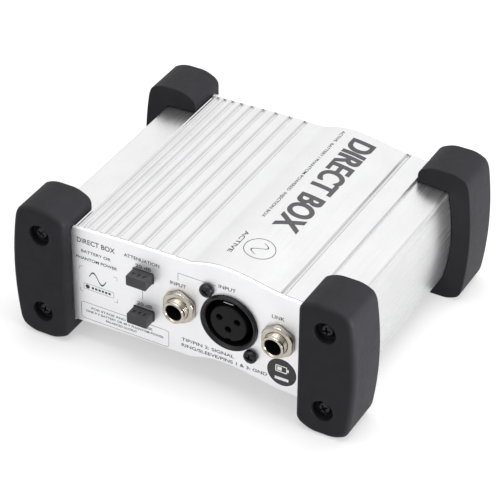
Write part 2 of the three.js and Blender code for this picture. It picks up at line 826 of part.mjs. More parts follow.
// Upright board behind the two attenuation switches.
function padBoard() {
  const [left, right] = PAD_BOARD_SIDES;
  const low = [PAD_X - left, PAD_BOARD_Y, ON_BOARD];
  const high = [PAD_X + right, PAD_BOARD_Y + BOARD_THICKNESS, PAD_UPPER_Z + PAD_BOARD_ABOVE];
  return piece('attenuator_board', block(low, high), BOARD_GREEN);
}

// Laminated core with two windows, and the winding round its middle leg.
function transformer([x, y]) {
  const halfDepth = 6;
  const windingOver = 4;
  const height = 24;
  const windowHeight = 14;
  const legHalf = 4;
  const windowOuter = 9;
  const halfWidth = 14;
  const low = ON_BOARD;
  const sill = low + (height - windowHeight) / 2;
  let core = block([x - halfWidth, y - halfDepth, low], [x + halfWidth, y + halfDepth, low + height]);
  for (const side of [-1, 1]) {
    const edges = [x + side * legHalf, x + side * windowOuter].sort((a, b) => a - b);
    core = core.subtract(block(
      [edges[0], y - halfDepth - PAST, sill],
      [edges[1], y + halfDepth + PAST, sill + windowHeight],
    ));
  }
  const ring = (halfX, halfY, grow) => block(
    [x - halfX, y - halfY, sill + GAP - grow],
    [x + halfX, y + halfY, sill + windowHeight - GAP + grow],
  );
  const winding = ring(windowOuter - GAP, halfDepth + windingOver, 0)
    .subtract(ring(legHalf + GAP, halfDepth + GAP, PAST));
  return [
    piece('transformer_core', core, STEEL),
    piece('transformer_winding', winding, COPPER),
  ];
}

function capacitor(name, x, y) {
  const radius = 4;
  const height = 12;
  return piece(name, barZ(radius, ON_BOARD, ON_BOARD + height, x, y), SHRINK_SLEEVE);
}

// Eight-legged amplifier chip.
function amplifier(name, x, y) {
  const halfX = 4.8;
  const halfY = 3.2;
  const bottom = ON_BOARD + 0.6;
  const top = ON_BOARD + 3.8;
  const pitch = 2.54;
  const legHalf = 0.3;
  const legTop = ON_BOARD + 2;
  const legIn = halfY - 0.5;
  const legOut = halfY + 0.6;
  let body = block([x - halfX, y - halfY, bottom], [x + halfX, y + halfY, top]);
  for (let i = -1.5; i <= 1.5; i += 1) {
    for (const side of [-1, 1]) {
      const [near, far] = [y + side * legIn, y + side * legOut].sort((a, b) => a - b);
      const at = x + i * pitch;
      body = body.add(block([at - legHalf, near, ON_BOARD], [at + legHalf, far, legTop]));
    }
  }
  return piece(name, body, BLACK_PLASTIC);
}

// ---- Battery ----

// Block battery lying on the board, its two terminals at the rear end.
function battery() {
  const [width, length, height] = BATTERY_SIZE;
  const middleZ = ON_BOARD + height / 2;
  const rear = BATTERY_Y + length / 2;
  const edge = 1.2;
  let body = solid(new RoundedBoxGeometry(width, length, height, 1, edge)
    .translate(BATTERY_X, BATTERY_Y, middleZ));
  const terminals = [[-1, STUD_RADIUS], [1, SOCKET_RADIUS]];
  for (const [side, radius] of terminals) {
    const x = BATTERY_X + side * TERMINAL_SPACING / 2;
    body = body.add(barY(radius, rear - PAST, rear + TERMINAL_HEIGHT, x, middleZ, 12));
  }
  return piece('battery', body, STEEL);
}

// Snap connector that caps the terminals.
function batterySnap() {
  const [, length, height] = BATTERY_SIZE;
  const middleZ = ON_BOARD + height / 2;
  const face = BATTERY_Y + length / 2 + GAP;
  const back = face + TERMINAL_HEIGHT + SNAP_COVER;
  const halfX = 12.5;
  const halfZ = 6;
  const low = [BATTERY_X - halfX, face, middleZ - halfZ];
  const high = [BATTERY_X + halfX, back, middleZ + halfZ];
  let body = block(low, high);
  for (const side of [-1, 1]) {
    const x = BATTERY_X + side * TERMINAL_SPACING / 2;
    const seat = barY(SOCKET_RADIUS + 0.4, face - PAST, face + TERMINAL_HEIGHT, x, middleZ, 12);
    body = body.subtract(seat);
  }
  return piece('battery_snap', body, BLACK_PLASTIC);
}

// Bent strap over the battery, standing on the board with one foot turned out.
function batteryBracket() {
  const [width, , height] = BATTERY_SIZE;
  const metal = 1;
  const half = width / 2 + GAP;
  const outer = half + metal;
  const under = ON_BOARD + height + GAP;
  const foot = 6;
  const halfLength = 6;
  const strap = new THREE.Shape();
  strap.moveTo(-outer, ON_BOARD);
  strap.lineTo(-half, ON_BOARD);
  strap.lineTo(-half, under);
  strap.lineTo(half, under);
  strap.lineTo(half, ON_BOARD);
  strap.lineTo(outer + foot, ON_BOARD);
  strap.lineTo(outer + foot, ON_BOARD + metal);
  strap.lineTo(outer, ON_BOARD + metal);
  strap.lineTo(outer, under + metal);
  strap.lineTo(-outer, under + metal);
  const body = slab(strap.closePath(), BATTERY_Y - halfLength, BATTERY_Y + halfLength);
  return piece('battery_bracket', body.translate([BATTERY_X, 0, 0]), STEEL);
}

// Lead from the snap connector to the board.
function batteryLead(name, side, look) {
  const [, length, height] = BATTERY_SIZE;
  const radius = 0.7;
  const steps = 9;
  const x = BATTERY_X + side * 5;
  const start = BATTERY_Y + length / 2 + 2 * GAP + TERMINAL_HEIGHT + SNAP_COVER;
  const top = ON_BOARD + height / 2;
  const points = [
    [x, start, top],
    [x + 1, start + 5, top - 1],
    [x + 6, start + 9, top - 6],
    [x + 7, start + 9, ON_BOARD + 1.5],
    [x + 7, start + 9, ON_BOARD + 0.2],
  ];
  return piece(name, lead(points, radius, steps), look);
}

// Flat ribbon from the attenuator board's back, down to the main board.
function padRibbon() {
  const start = PAD_BOARD_Y + BOARD_THICKNESS + GAP;
  const thickness = 0.8;
  const width = 12;
  const top = 30;
  const bend = 3;
  const run = start + bend + 2;
  const ribbon = new THREE.Shape();
  ribbon.moveTo(start, top - thickness);
  ribbon.lineTo(run - bend, top - thickness);
  ribbon.quadraticCurveTo(run - thickness, top - thickness, run - thickness, top - bend);
  ribbon.lineTo(run - thickness, ON_BOARD);
  ribbon.lineTo(run, ON_BOARD);
  ribbon.lineTo(run, top - bend);
  ribbon.quadraticCurveTo(run, top, run - bend, top);
  ribbon.lineTo(start, top);
  return piece('attenuator_ribbon', bentStrip(ribbon.closePath(), width, PAD_X - 1), STEEL);
}

// ---- The box ----

const box = new THREE.Group();
box.add(sleeve(), frontPanel(), rearPanel(), corners());
box.add(jack('input', INPUT_JACK_X), jack('link', LINK_JACK_X));
box.add(inputXlr(), outputXlr());
const halfSwitch = SWITCH_WIDTH / 2;
box.add(pushSwitch('attenuator_upper', false, PAD_X, PAD_UPPER_Z, halfSwitch));
box.add(pushSwitch('attenuator_lower', false, PAD_X, PAD_LOWER_Z, halfSwitch));
box.add(pushSwitch('ground_lift', true, GROUND_LIFT_X, REAR_SWITCH_Z, REAR_SWITCH_Z - ON_BOARD));
box.add(pushSwitch('power', true, POWER_X, REAR_SWITCH_Z, REAR_SWITCH_Z - ON_BOARD));
box.add(statusLed(), mainBoard(), padBoard(), ...transformer(TRANSFORMER_AT));
const [capacitorX, capacitorY] = CAPACITOR_AT;
for (let i = 0; i < CAPACITOR_COUNT; i += 1) {
  box.add(capacitor(`capacitor_${i + 1}`, capacitorX + i * CAPACITOR_PITCH, capacitorY));
}
box.add(amplifier('amplifier_chip_front', AMPLIFIER_X, AMPLIFIER_FRONT_Y));
box.add(amplifier('amplifier_chip_rear', AMPLIFIER_X, AMPLIFIER_REAR_Y));
box.add(battery(), batterySnap(), batteryBracket(), padRibbon());
box.add(batteryLead('battery_lead_positive', 1, RED_PLASTIC));
box.add(batteryLead('battery_lead_negative', -1, BLACK_PLASTIC));

export default box;
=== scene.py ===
"""Looks of the active direct injection box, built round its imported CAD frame.

Geometry is worked out in millimetres in the frame's own axes and turned into metres when a
mesh is made. X runs across the box, the input panel faces -Y and Z is up.
"""

import json
import math

import bmesh
import bpy
from mathutils import Matrix, Vector


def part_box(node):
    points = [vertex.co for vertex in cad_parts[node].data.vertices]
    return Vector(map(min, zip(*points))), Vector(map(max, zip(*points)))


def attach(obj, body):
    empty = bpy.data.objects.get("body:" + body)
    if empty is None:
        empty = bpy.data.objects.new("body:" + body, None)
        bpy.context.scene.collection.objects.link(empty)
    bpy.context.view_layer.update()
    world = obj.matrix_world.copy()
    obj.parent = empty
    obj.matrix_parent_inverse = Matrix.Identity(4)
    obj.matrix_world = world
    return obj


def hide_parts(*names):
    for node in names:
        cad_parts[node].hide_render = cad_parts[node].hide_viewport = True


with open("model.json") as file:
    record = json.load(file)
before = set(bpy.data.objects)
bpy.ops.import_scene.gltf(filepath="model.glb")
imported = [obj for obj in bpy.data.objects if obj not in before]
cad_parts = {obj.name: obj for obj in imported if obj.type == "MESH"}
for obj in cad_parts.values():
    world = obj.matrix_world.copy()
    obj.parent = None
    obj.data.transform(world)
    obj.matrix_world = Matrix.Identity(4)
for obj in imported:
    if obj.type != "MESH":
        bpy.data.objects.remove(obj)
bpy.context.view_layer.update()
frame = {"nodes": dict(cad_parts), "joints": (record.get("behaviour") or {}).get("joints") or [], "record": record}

MM = 0.001
ENCLOSURE = "enclosure"


def mm_box(node):
    """Lowest and highest corner of a CAD node, in millimetres."""
    low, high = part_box(node)
    return low / MM, high / MM


def mm_centre(node):
    low, high = mm_box(node)
    return (low + high) / 2


# ---- Dimensions, from the frame where it holds them ----

SLEEVE_LOW, SLEEVE_HIGH = mm_box("enclosure_sleeve")
FRONT_FACE = mm_box("front_panel")[0].y
REAR_FACE = mm_box("rear_panel")[1].y
PANEL_THICKNESS = mm_box("front_panel")[1].y - FRONT_FACE
GUARD_LOW, GUARD_HIGH = mm_box("corner_guard_front_right")
HEIGHT = GUARD_HIGH.z
MID_Z = HEIGHT / 2

# Section of the sleeve and the panels, as in the CAD model.
WALL = 2.2
DECK_HALF = 50
DECK_EDGE_Z = 53
DECK_TO_UNDERSIDE = 44
CROWN = 1.4
WAVE_HEIGHT = 2.8
WAVE_START = 2
CREST_START = 15.5
CREST_END = 17.5
WAVE_END = 43
STRIP_RISE = 21.6
SHOULDER_X = 62
SHOULDER_RISE = 21
SIDE_X = 64.2
SIDE_RISE = 18.4
SIDE_BULGE = 2.1
GROOVE_COUNT = 10
GROOVE_FIRST = -49.5
GROOVE_PITCH = 2.66
GROOVE_PITCH_GROWTH = 0.54
LONE_GROOVE_X = 40.4
GROOVE_HALF = 1.2
GROOVE_DEPTH = 1.1

GUARD_ROUND = 2.3
GUARD_CORNER = 5.5
GUARD_SHOULDER_DROP = 6.5
GUARD_EDGE_X = GUARD_HIGH.x - 1.8
GUARD_EDGE_BULGE = 2 * GUARD_HIGH.x - GUARD_EDGE_X
# The top of the front right guard, from its inner side outwards. Each stretch has a bend and an
# end, both as (x, drop below the top), and its number of steps.
GUARD_TOP = [
    ((GUARD_LOW.x, GUARD_CORNER / 2), (53.6, 1.4), 10),
    ((56.3, 0), (59, 0), 8),
    ((61.5, 0), (64, 0), 1),
    ((67.3, 0), (70.6, 2), 10),
    ((GUARD_EDGE_X - 0.6, GUARD_SHOULDER_DROP / 2), (GUARD_EDGE_X, GUARD_SHOULDER_DROP), 10),
]
GUARD_FIT = 0.12
COUNTERBORE_RADIUS = 4.5

SCREW_HEAD_HEIGHT = 2.1
SCREW_HEAD_RADIUS = 2.8
SCREW_HOLE_RADIUS = 1.8
SHANK_RADIUS = 1.4
THREAD_PITCH = 0.5
THREAD_DEPTH = 0.22
FIRST_SPIN = 12
SPIN_STEP = 23

JACK_THREAD = 4.7
JACK_THREAD_PITCH = 0.8
JACK_THREAD_DEPTH = 0.32
JACK_BORE = 3.3
PLUG_RADIUS = 3.175

XLR_RIM_RADIUS = 12
XLR_BARREL_RADIUS = 11.5
XLR_FEMALE_BORE = 10.25
XLR_MALE_BORE = 9.4
XLR_INSERT_RADIUS = 7.8
XLR_INSERT_REACH = 15
XLR_FLANGE = 2.5
XLR_KEY_HALF = 1.1
XLR_PIN_RADIUS = 1.2
XLR_PIN_HOLE = 1.45
CONTACTS = [(-3.8, 1.9), (3.8, 1.9), (0, -2.6)]
# From a panel's outer face to the front of what is mounted behind it.
MOUNTING_DEPTH = PANEL_THICKNESS + 0.3

CAP_LENGTH = 8.2
PLUNGER_HALF = 1.5
CAP_PLAY = 0.3
CAP_MARKS = (-2.9, -0.6, 1.7)
CAP_MARK_WIDTH = 1.2
CAP_MARK_LENGTH = 1.7

LED_RADIUS = 1.5
LED_HOLE_RADIUS = 1.7
LED_COLLAR_RADIUS = 2
LED_Z = mm_box("status_led")[1].z - LED_COLLAR_RADIUS

# Thickness of the printing, how deep its foot is sunk in the face and the width of its lines.
INK = 0.035
INK_SINK = 0.01
LINE = 0.16

# Small gaps between pieces, and how far a cutter runs past what it cuts.
SEAM = 0.08
TRIM = 0.05
PAST = 1

ROUND_SIDES = 72
SHARP_ANGLE = 32


# ---- Mesh tools ----


def to_object(bm, name):
    """A mesh drawn in millimetres as an object in metres, its faces pointing out."""
    bmesh.ops.recalc_face_normals(bm, faces=bm.faces)
    bm.transform(Matrix.Scale(MM, 4))
    mesh = bpy.data.meshes.new(name)
    bm.to_mesh(mesh)
    bm.free()
    obj = bpy.data.objects.new(name, mesh)
    bpy.context.scene.collection.objects.link(obj)
    return obj


def skin(rings, closed=False):
    """Quads between neighbouring rings. The end rings are filled, unless it is closed."""
    bm = bmesh.new()
    rows = [[bm.verts.new(point) for point in ring] for ring in rings]
    pairs = list(zip(rows, rows[1:]))
    if closed:
        pairs.append((rows[-1], rows[0]))
    count = len(rows[0])
    for row, following in pairs:
        for i in range(count):
            j = (i + 1) % count
            bm.faces.new((row[i], row[j], following[j], following[i]))
    if not closed:
        bm.faces.new(rows[0])
        bm.faces.new(rows[-1])
    return bm


def prism(outline, y0, y1):
    """An outline of (x, z) points drawn out along Y."""
    return skin([[(x, y, z) for x, z in outline] for y in (y0, y1)])


def block(low, high):
    outline = [(low[0], low[2]), (high[0], low[2]), (high[0], high[2]), (low[0], high[2])]
    return prism(outline, low[1], high[1])


def turned(profile, x, z, place, closed=False, sides=ROUND_SIDES):
    """A profile of (radius, depth) points turned about a line along Y through (x, z)."""
    rings = []
    for radius, depth in profile:
        angles = [2 * math.pi * i / sides for i in range(sides)]
        y = place(depth)
        rings.append([
            (x + radius * math.cos(a), y, z + radius * math.sin(a)) for a in angles
        ])
    return skin(rings, closed)


def carve(obj, tools, operation="DIFFERENCE"):
    """Joins or cuts obj with the given meshes and leaves the result on it."""
    for index, bm in enumerate(tools):
        tool = to_object(bm, f"tool_{index}")
        modifier = obj.modifiers.new("carve", "BOOLEAN")
        modifier.operation = operation
        modifier.solver = "EXACT"
        modifier.object = tool
        shape = obj.evaluated_get(bpy.context.evaluated_depsgraph_get())
        mesh = bpy.data.meshes.new_from_object(shape)
        obj.modifiers.clear()
        obj.data = mesh
        bpy.data.objects.remove(tool)
    return obj


def soften(obj, width, segments=2):
    """Smooth shading with the sharp edges rounded to a width in millimetres."""
    obj.data.shade_smooth()
    obj.data.set_sharp_from_angle(angle=math.radians(SHARP_ANGLE))
    bevel = obj.modifiers.new("edge_rounding", "BEVEL")
    bevel.width = width * MM
    bevel.segments = segments
    bevel.limit_method = "ANGLE"
    bevel.angle_limit = math.radians(SHARP_ANGLE)
    bevel.harden_normals = True
    bevel.use_clamp_overlap = True
    return obj


def moved_copy(source, name, move):
    """A copy of an object with its mesh moved by a matrix."""
    mesh = source.data.copy()
    mesh.transform(move)
    copy = bpy.data.objects.new(name, mesh)
    bpy.context.scene.collection.objects.link(copy)
    return copy


def inward_from_front(depth):
    return FRONT_FACE + depth


def inward_from_rear(depth):
    return REAR_FACE - depth


def curve_to(start, control, end, steps):
    """Points after start on the quadratic curve from start to end."""
    points = []
    for i in range(1, steps + 1):
        t = i / steps
        points.append(tuple(
            (1 - t) ** 2 * a + 2 * t * (1 - t) * b + t ** 2 * c
            for a, b, c in zip(start, control, end)
        ))
    return points


# ---- Materials ----

# Most of a noise's values lie between these two.
NOISE_MIDDLE = (0.3, 0.7)


class Look:
    """A node material with one principled shader and a few ways to give it texture."""

    def __init__(self, name, color, roughness, metallic=0.0):
        self.material = bpy.data.materials.new(name)
        self.material.use_nodes = True
        self.nodes = self.material.node_tree.nodes
        self.links = self.material.node_tree.links
        self.shader = self.nodes["Principled BSDF"]
        self.color = (*color, 1)
        self.shader.inputs["Base Color"].default_value = self.color
        self.shader.inputs["Roughness"].default_value = roughness
        self.shader.inputs["Metallic"].default_value = metallic
        self.coordinates = self.nodes.new("ShaderNodeTexCoord").outputs["Object"]
        self.normal = None

    def noise(self, size, stretch=(1, 1, 1), detail=3):
        """A noise whose features are about size millimetres, stretched along the axes."""
        mapping = self.nodes.new("ShaderNodeMapping")
        mapping.inputs["Scale"].default_value = [1 / s for s in stretch]
        self.links.new(self.coordinates, mapping.inputs["Vector"])
        texture = self.nodes.new("ShaderNodeTexNoise")
        texture.inputs["Scale"].default_value = 1 / (size * MM)
        texture.inputs["Detail"].default_value = detail
        self.links.new(mapping.outputs["Vector"], texture.inputs["Vector"])
        return texture.outputs["Fac"]

    def spread(self, value, low, high):
        """The middle of a noise's range mapped to low and high."""
        node = self.nodes.new("ShaderNodeMapRange")
        node.inputs["From Min"].default_value, node.inputs["From Max"].default_value = NOISE_MIDDLE
        node.inputs["To Min"].default_value = low
        node.inputs["To Max"].default_value = high
        self.links.new(value, node.inputs["Value"])
        return node.outputs["Result"]

    def vary_color(self, value, dark, light):
        """Base colour between dark and light multiples of the look's colour."""
        mix = self.nodes.new("ShaderNodeMix")
        mix.data_type = "RGBA"
        mix.inputs["A"].default_value = (*[c * dark for c in self.color[:3]], 1)
        mix.inputs["B"].default_value = (*[min(c * light, 1) for c in self.color[:3]], 1)
        self.links.new(self.spread(value, 0, 1), mix.inputs["Factor"])
        self.links.new(mix.outputs["Result"], self.shader.inputs["Base Color"])

    def vary_roughness(self, value, low, high):
        self.links.new(self.spread(value, low, high), self.shader.inputs["Roughness"])

    def bump(self, value, height):
        """Relief of a height in millimetres on top of any relief given before."""
        node = self.nodes.new("ShaderNodeBump")
        node.inputs["Distance"].default_value = height * MM
        self.links.new(value, node.inputs["Height"])
        if self.normal:
            self.links.new(self.normal, node.inputs["Normal"])
        self.normal = node.outputs["Normal"]
        self.links.new(self.normal, self.shader.inputs["Normal"])

    def set(self, **values):
        """Values for shader inputs, named with underscores in place of spaces."""
        for name, value in values.items():
            self.shader.inputs[name.replace("_", " ")].default_value = value


def satin_metal(name, color, roughness, lines, grain):
    """Blasted metal with faint drawn lines, stretched along the axes by lines."""
    look = Look(name, color, roughness, 1.0)
    streaks = look.noise(0.5, lines, 4)
    blasted = look.noise(0.12)
    look.vary_color(look.noise(14), 0.975, 1.02)
    look.vary_roughness(streaks, roughness - 0.04, roughness + 0.05)
    look.bump(blasted, grain)
    look.bump(streaks, grain)
    return look.material


def moulded(name, color, roughness, grain, cloud=6, shine=0.5):
    """Moulded rubber or plastic with a fine spark-eroded grain."""
    look = Look(name, color, roughness)
    look.set(Specular_IOR_Level=shine)
    fine = look.noise(0.25, detail=4)
    look.vary_color(look.noise(cloud, detail=5), 0.86, 1.14)
    look.vary_roughness(look.noise(cloud / 2), roughness - 0.05, roughness + 0.06)
    look.bump(fine, grain)
    return look.material


def plated(name, color, roughness):
    """Plated or bright metal, with faint turning marks and handling haze."""
    look = Look(name, color, roughness, 1.0)
    marks = look.noise(0.2, (6, 1, 6), 2)
    look.vary_color(look.noise(3), 0.9, 1.05)
    look.vary_roughness(look.noise(1.5), roughness * 0.75, roughness * 1.35)
    look.bump(marks, 0.006)
    return look.material


def laminate(name, color):
    """Circuit board with soldermask over faint copper tracks."""
    look = Look(name, color, 0.4)
    tracks = look.noise(2.5, (1, 4, 1), 1)
    look.vary_color(tracks, 0.8, 1.35)
    look.bump(tracks, 0.03)
    return look.material


def lens(name, color):
    look = Look(name, color, 0.12)
    look.vary_color(look.noise(1.2), 0.9, 1.1)
    look.vary_roughness(look.noise(0.8), 0.08, 0.16)
    look.set(Transmission_Weight=0.6, IOR=1.49)
    return look.material


LOOKS = {
    "anodised_aluminium": satin_metal("anodised", (0.605, 0.605, 0.61), 0.3, (1, 60, 1), 0.003),
    "panel_finish": satin_metal("panel", (0.82, 0.82, 0.832), 0.46, (20, 1, 1), 0.003),
    "guard_rubber": moulded("rubber", (0.0095, 0.0092, 0.0115), 0.62, 0.02, shine=0.15),
    "black_steel": plated("black_steel", (0.035, 0.035, 0.038), 0.4),
    "black_metal": moulded("black_metal", (0.005, 0.005, 0.006), 0.34, 0.006, shine=0.28),
    "nickel_plate": plated("nickel", (0.48, 0.44, 0.38), 0.22),
    "switch_cap_plastic": moulded("cap_plastic", (0.03, 0.03, 0.032), 0.5, 0.01, 3, 0.3),
    "black_plastic": moulded("black_plastic", (0.0045, 0.0045, 0.0055), 0.5, 0.008, 3, 0.13),
    "bright_steel": plated("bright_steel", (0.4, 0.4, 0.41), 0.3),
    "board_laminate": laminate("board", (0.02, 0.13, 0.05)),
    "copper_winding": plated("copper_wire", (0.6, 0.27, 0.1), 0.35),
    "red_lens": lens("red_lens", (0.5, 0.02, 0.012)),
    "red_insulation": moulded("red_insulation", (0.45, 0.02, 0.02), 0.45, 0.006, 2),
    "grey_insulation": moulded("grey_insulation", (0.45, 0.45, 0.46), 0.5, 0.006, 2),
    "capacitor_sleeve": moulded("shrink_sleeve", (0.02, 0.04, 0.12), 0.3, 0.004, 2),
    "battery_case": moulded("battery_case", (0.1, 0.1, 0.11), 0.35, 0.004, 4),
}
SLOT_OF = {part["node"]: part["material_slot"] for part in frame["record"]["subparts"]}


def stand_for(obj, node, body=ENCLOSURE):
    """obj is the finished form of a CAD node and takes its finish."""
    slot = SLOT_OF[node]
    obj.data.materials.clear()
    obj.data.materials.append(LOOKS[slot])
    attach(obj, body)
    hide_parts(node)


# ---- Sleeve and panels ----


def wave(x):
    """Height of the raised wave above the plain deck."""
    if x <= WAVE_START or x >= WAVE_END:
        return 0
    if x < CREST_START:
        rise = (x - WAVE_START) / (CREST_START - WAVE_START)
        return WAVE_HEIGHT * math.sin(rise * math.pi / 2)
    fall = max(0, (x - CREST_END) / (WAVE_END - CREST_END))
    return WAVE_HEIGHT * (1 + math.cos(fall * math.pi)) / 2


def deck_z(x):
    return DECK_EDGE_Z + CROWN * (1 - (x / DECK_HALF) ** 2) + wave(x)


def groove_centres():
    """The grooves' places across the deck: ten with a growing pitch, and the lone one."""
    centres = [GROOVE_FIRST]
    for i in range(GROOVE_COUNT - 1):
        centres.append(centres[-1] + GROOVE_PITCH + i * GROOVE_PITCH_GROWTH)
    return [*centres, LONE_GROOVE_X]


GROOVES = groove_centres()


def groove_depth(x):
    """Depth of the grooves at x: each is a shallow V with a round floor and round lips."""
    depth = 0
    for centre in GROOVES:
        near = 1 - abs(x - centre) / GROOVE_HALF
        if near > 0:
            depth = max(depth, GROOVE_DEPTH * near ** 1.5 * (2.5 - 1.5 * near))
    return depth


def deck_places():
    """Places across the deck where its height is taken, closer together in a groove."""
    places = {float(x) for x in range(-DECK_HALF, DECK_HALF + 1)}
    per_side = 6
    for centre in GROOVES:
        for i in range(-per_side, per_side + 1):
            places.add(centre + i * GROOVE_HALF / per_side)
    kept = []
    for x in sorted(places):
        if abs(x) <= DECK_HALF and (not kept or x - kept[-1] > 0.15):
            kept.append(x)
    kept[-1] = DECK_HALF
    return kept


def section(inset, grooved=False):
    """The body's outline as (x, z) points, drawn in by inset. The number of points is fixed."""
    shrink = (DECK_HALF - inset) / DECK_HALF
    places = deck_places()
    deck = []
    under = []
    for x in places:
        depth = groove_depth(x) if grooved else 0
        deck.append((x * shrink, deck_z(x) - inset - depth))
        under.append((x * shrink, deck_z(x) - DECK_TO_UNDERSIDE + inset))
    edge = SIDE_X - inset
    shoulder = (SHOULDER_X - inset, MID_Z + SHOULDER_RISE - inset)
    side_top = (edge, MID_Z + SIDE_RISE)
    side_bottom = (edge, MID_Z - SIDE_RISE)
    low_shoulder = (SHOULDER_X - inset, MID_Z - SHOULDER_RISE + inset)
    right = [(DECK_HALF - inset, MID_Z + STRIP_RISE - inset), shoulder]
    right += curve_to(shoulder, (edge, shoulder[1]), side_top, 8)
    right += curve_to(side_top, (edge + 2 * SIDE_BULGE, MID_Z), side_bottom, 24)
    right += curve_to(side_bottom, (edge, low_shoulder[1]), low_shoulder, 8)
    right.append((DECK_HALF - inset, MID_Z - STRIP_RISE + inset))
    left = [(-x, z) for x, z in reversed(right)]
    return deck + right + under[::-1] + left


def make_sleeve():
    y0 = SLEEVE_LOW.y - SEAM * 2
    y1 = SLEEVE_HIGH.y + SEAM * 2
    outer = section(0, grooved=True)
    inner = section(WALL)
    rings = [
        [(x, y, z) for x, z in outline]
        for outline, y in ((outer, y0), (outer, y1), (inner, y1), (inner, y0))
    ]
    sleeve = to_object(skin(rings, closed=True), "sleeve_extrusion")
    stand_for(soften(sleeve, 0.16, 2), "enclosure_sleeve")


def make_panel(node, name, y0, cuts):
    panel = to_object(prism(section(TRIM), y0, y0 + PANEL_THICKNESS), name)
    carve(panel, cuts)
    stand_for(soften(panel, 0.12, 2), node)


def bore(radius, x, z, y0, y1, sides=ROUND_SIDES):
    """A cutting cylinder along Y."""
    return turned([(radius, y0), (radius, y1)], x, z, float, sides=sides)


def hole(radius, x, z, y0):
    """A cutting cylinder through the panel whose lower face along Y is at y0."""
    return bore(radius, x, z, y0 - PAST, y0 + PANEL_THICKNESS + PAST)


def guard_screw_holes(y0):
    """Holes for the guards' screws, which sit at the same places on both panels."""
    centres = [mm_centre(node) for node in SLOT_OF if node.startswith("guard_screw_front")]
    return [hole(SCREW_HOLE_RADIUS, c.x, c.z, y0) for c in centres]


def xlr_holes(connector, y0):
    rim = mm_centre(f"{connector}_shell")
    cuts = [hole(XLR_RIM_RADIUS + 0.15, rim.x, rim.z, y0)]
    for level in ("upper", "lower"):
        place = mm_centre(f"{connector}_screw_{level}")
        cuts.append(hole(SCREW_HOLE_RADIUS, place.x, place.z, y0))
    return cuts


def slot_for_cap(node, y0):
    """Rectangular hole with small corner radii, a little larger than a switch cap."""
    low, high = mm_box(node)
    outline = rounded_rectangle(
        low.x - CAP_PLAY, low.z - CAP_PLAY, high.x + CAP_PLAY, high.z + CAP_PLAY, 0.5
    )
    return prism(outline, y0 - PAST, y0 + PANEL_THICKNESS + PAST)


def rounded_rectangle(x0, z0, x1, z1, radius, steps=6):
    points = []
    corners = [(x1, z1, 0), (x0, z1, 90), (x0, z0, 180), (x1, z0, 270)]
    for x, z, start in corners:
        centre_x = x - radius if x == x1 else x + radius
        centre_z = z - radius if z == z1 else z + radius
        for i in range(steps + 1):
            angle = math.radians(start + 90 * i / steps)
            points.append((
                centre_x + radius * math.cos(angle),
                centre_z + radius * math.sin(angle),
            ))
    return points


def make_panels():
    front = guard_screw_holes(FRONT_FACE) + xlr_holes("input_xlr", FRONT_FACE)
    for jack in ("input_jack", "link_jack"):
        place = mm_centre(f"{jack}_ferrule")
        front.append(hole(JACK_THREAD + 0.2, place.x, place.z, FRONT_FACE))
    for cap in ("attenuator_upper_cap", "attenuator_lower_cap"):
        front.append(slot_for_cap(cap, FRONT_FACE))
    make_panel("front_panel", "input_panel_sheet", FRONT_FACE, front)

    inner = REAR_FACE - PANEL_THICKNESS
    rear = guard_screw_holes(inner) + xlr_holes("output_xlr", inner)
    for cap in ("ground_lift_cap", "power_cap"):
        rear.append(slot_for_cap(cap, inner))
    place = mm_centre("status_led")
    rear.append(hole(LED_HOLE_RADIUS, place.x, LED_Z, inner))
    make_panel("rear_panel", "output_panel_sheet", inner, rear)


# ---- Corner guards ----


def guard_outline():
    """The front right guard seen from the front, as (x, z) points. Its halves mirror each other."""
    upper = [(GUARD_LOW.x, HEIGHT - GUARD_CORNER)]
    for bend, end, steps in GUARD_TOP:
        upper += curve_to(upper[-1], (bend[0], HEIGHT - bend[1]), (end[0], HEIGHT - end[1]), steps)
    lower = [(x, HEIGHT - z) for x, z in reversed(upper)]
    side = curve_to(upper[-1], (GUARD_EDGE_BULGE, MID_Z), lower[0], 28)
    return [lower[-1], *upper, *side[:-1], *lower[:-1]]


def guard_ring(outline, y, inset):
    """The outline at a depth, drawn in on every side."""
    middle = (GUARD_LOW.x + GUARD_HIGH.x) / 2
    half = GUARD_HIGH.x - middle
    return [
        (
            middle + (x - middle) * (1 - inset / half),
            y,
            MID_Z + (z - MID_Z) * (1 - inset / MID_Z),
        )
        for x, z in outline
    ]


def guard_mesh():
    """The front right guard: a rounded block less the sleeve's end and its screw holes."""
    outline = guard_outline()
    rings = []
    steps = 12
    for i in range(steps + 1):
        angle = i / steps * math.pi / 2
        depth = GUARD_ROUND * (1 - math.cos(angle))
        inset = GUARD_ROUND * (1 - math.sin(angle))
        rings.append(guard_ring(outline, GUARD_LOW.y + depth, inset))
    rings.append(guard_ring(outline, GUARD_HIGH.y, 0))
    guard = to_object(skin(rings), "guard_blank")
    screws = [mm_box(f"guard_screw_front_right_{level}") for level in ("upper", "lower")]
    tools = [prism(section(-GUARD_FIT), FRONT_FACE - GUARD_FIT, GUARD_HIGH.y + PAST)]
    for low, high in screws:
        x, z = (low.x + high.x) / 2, (low.z + high.z) / 2
        floor = low.y + SCREW_HEAD_HEIGHT + SEAM
        tools.append(bore(COUNTERBORE_RADIUS, x, z, GUARD_LOW.y - PAST, floor))
        tools.append(bore(SCREW_HOLE_RADIUS, x, z, floor - PAST, FRONT_FACE + PAST))
    return carve(guard, tools)


# The turns about the middle of the box that put the front right guard on each corner.
HALF_TURNS = {
    "front_right": Matrix.Identity(4),
    "front_left": Matrix.Rotation(math.pi, 4, "Y"),
    "rear_right": Matrix.Rotation(math.pi, 4, "X"),
    "rear_left": Matrix.Rotation(math.pi, 4, "Z"),
}


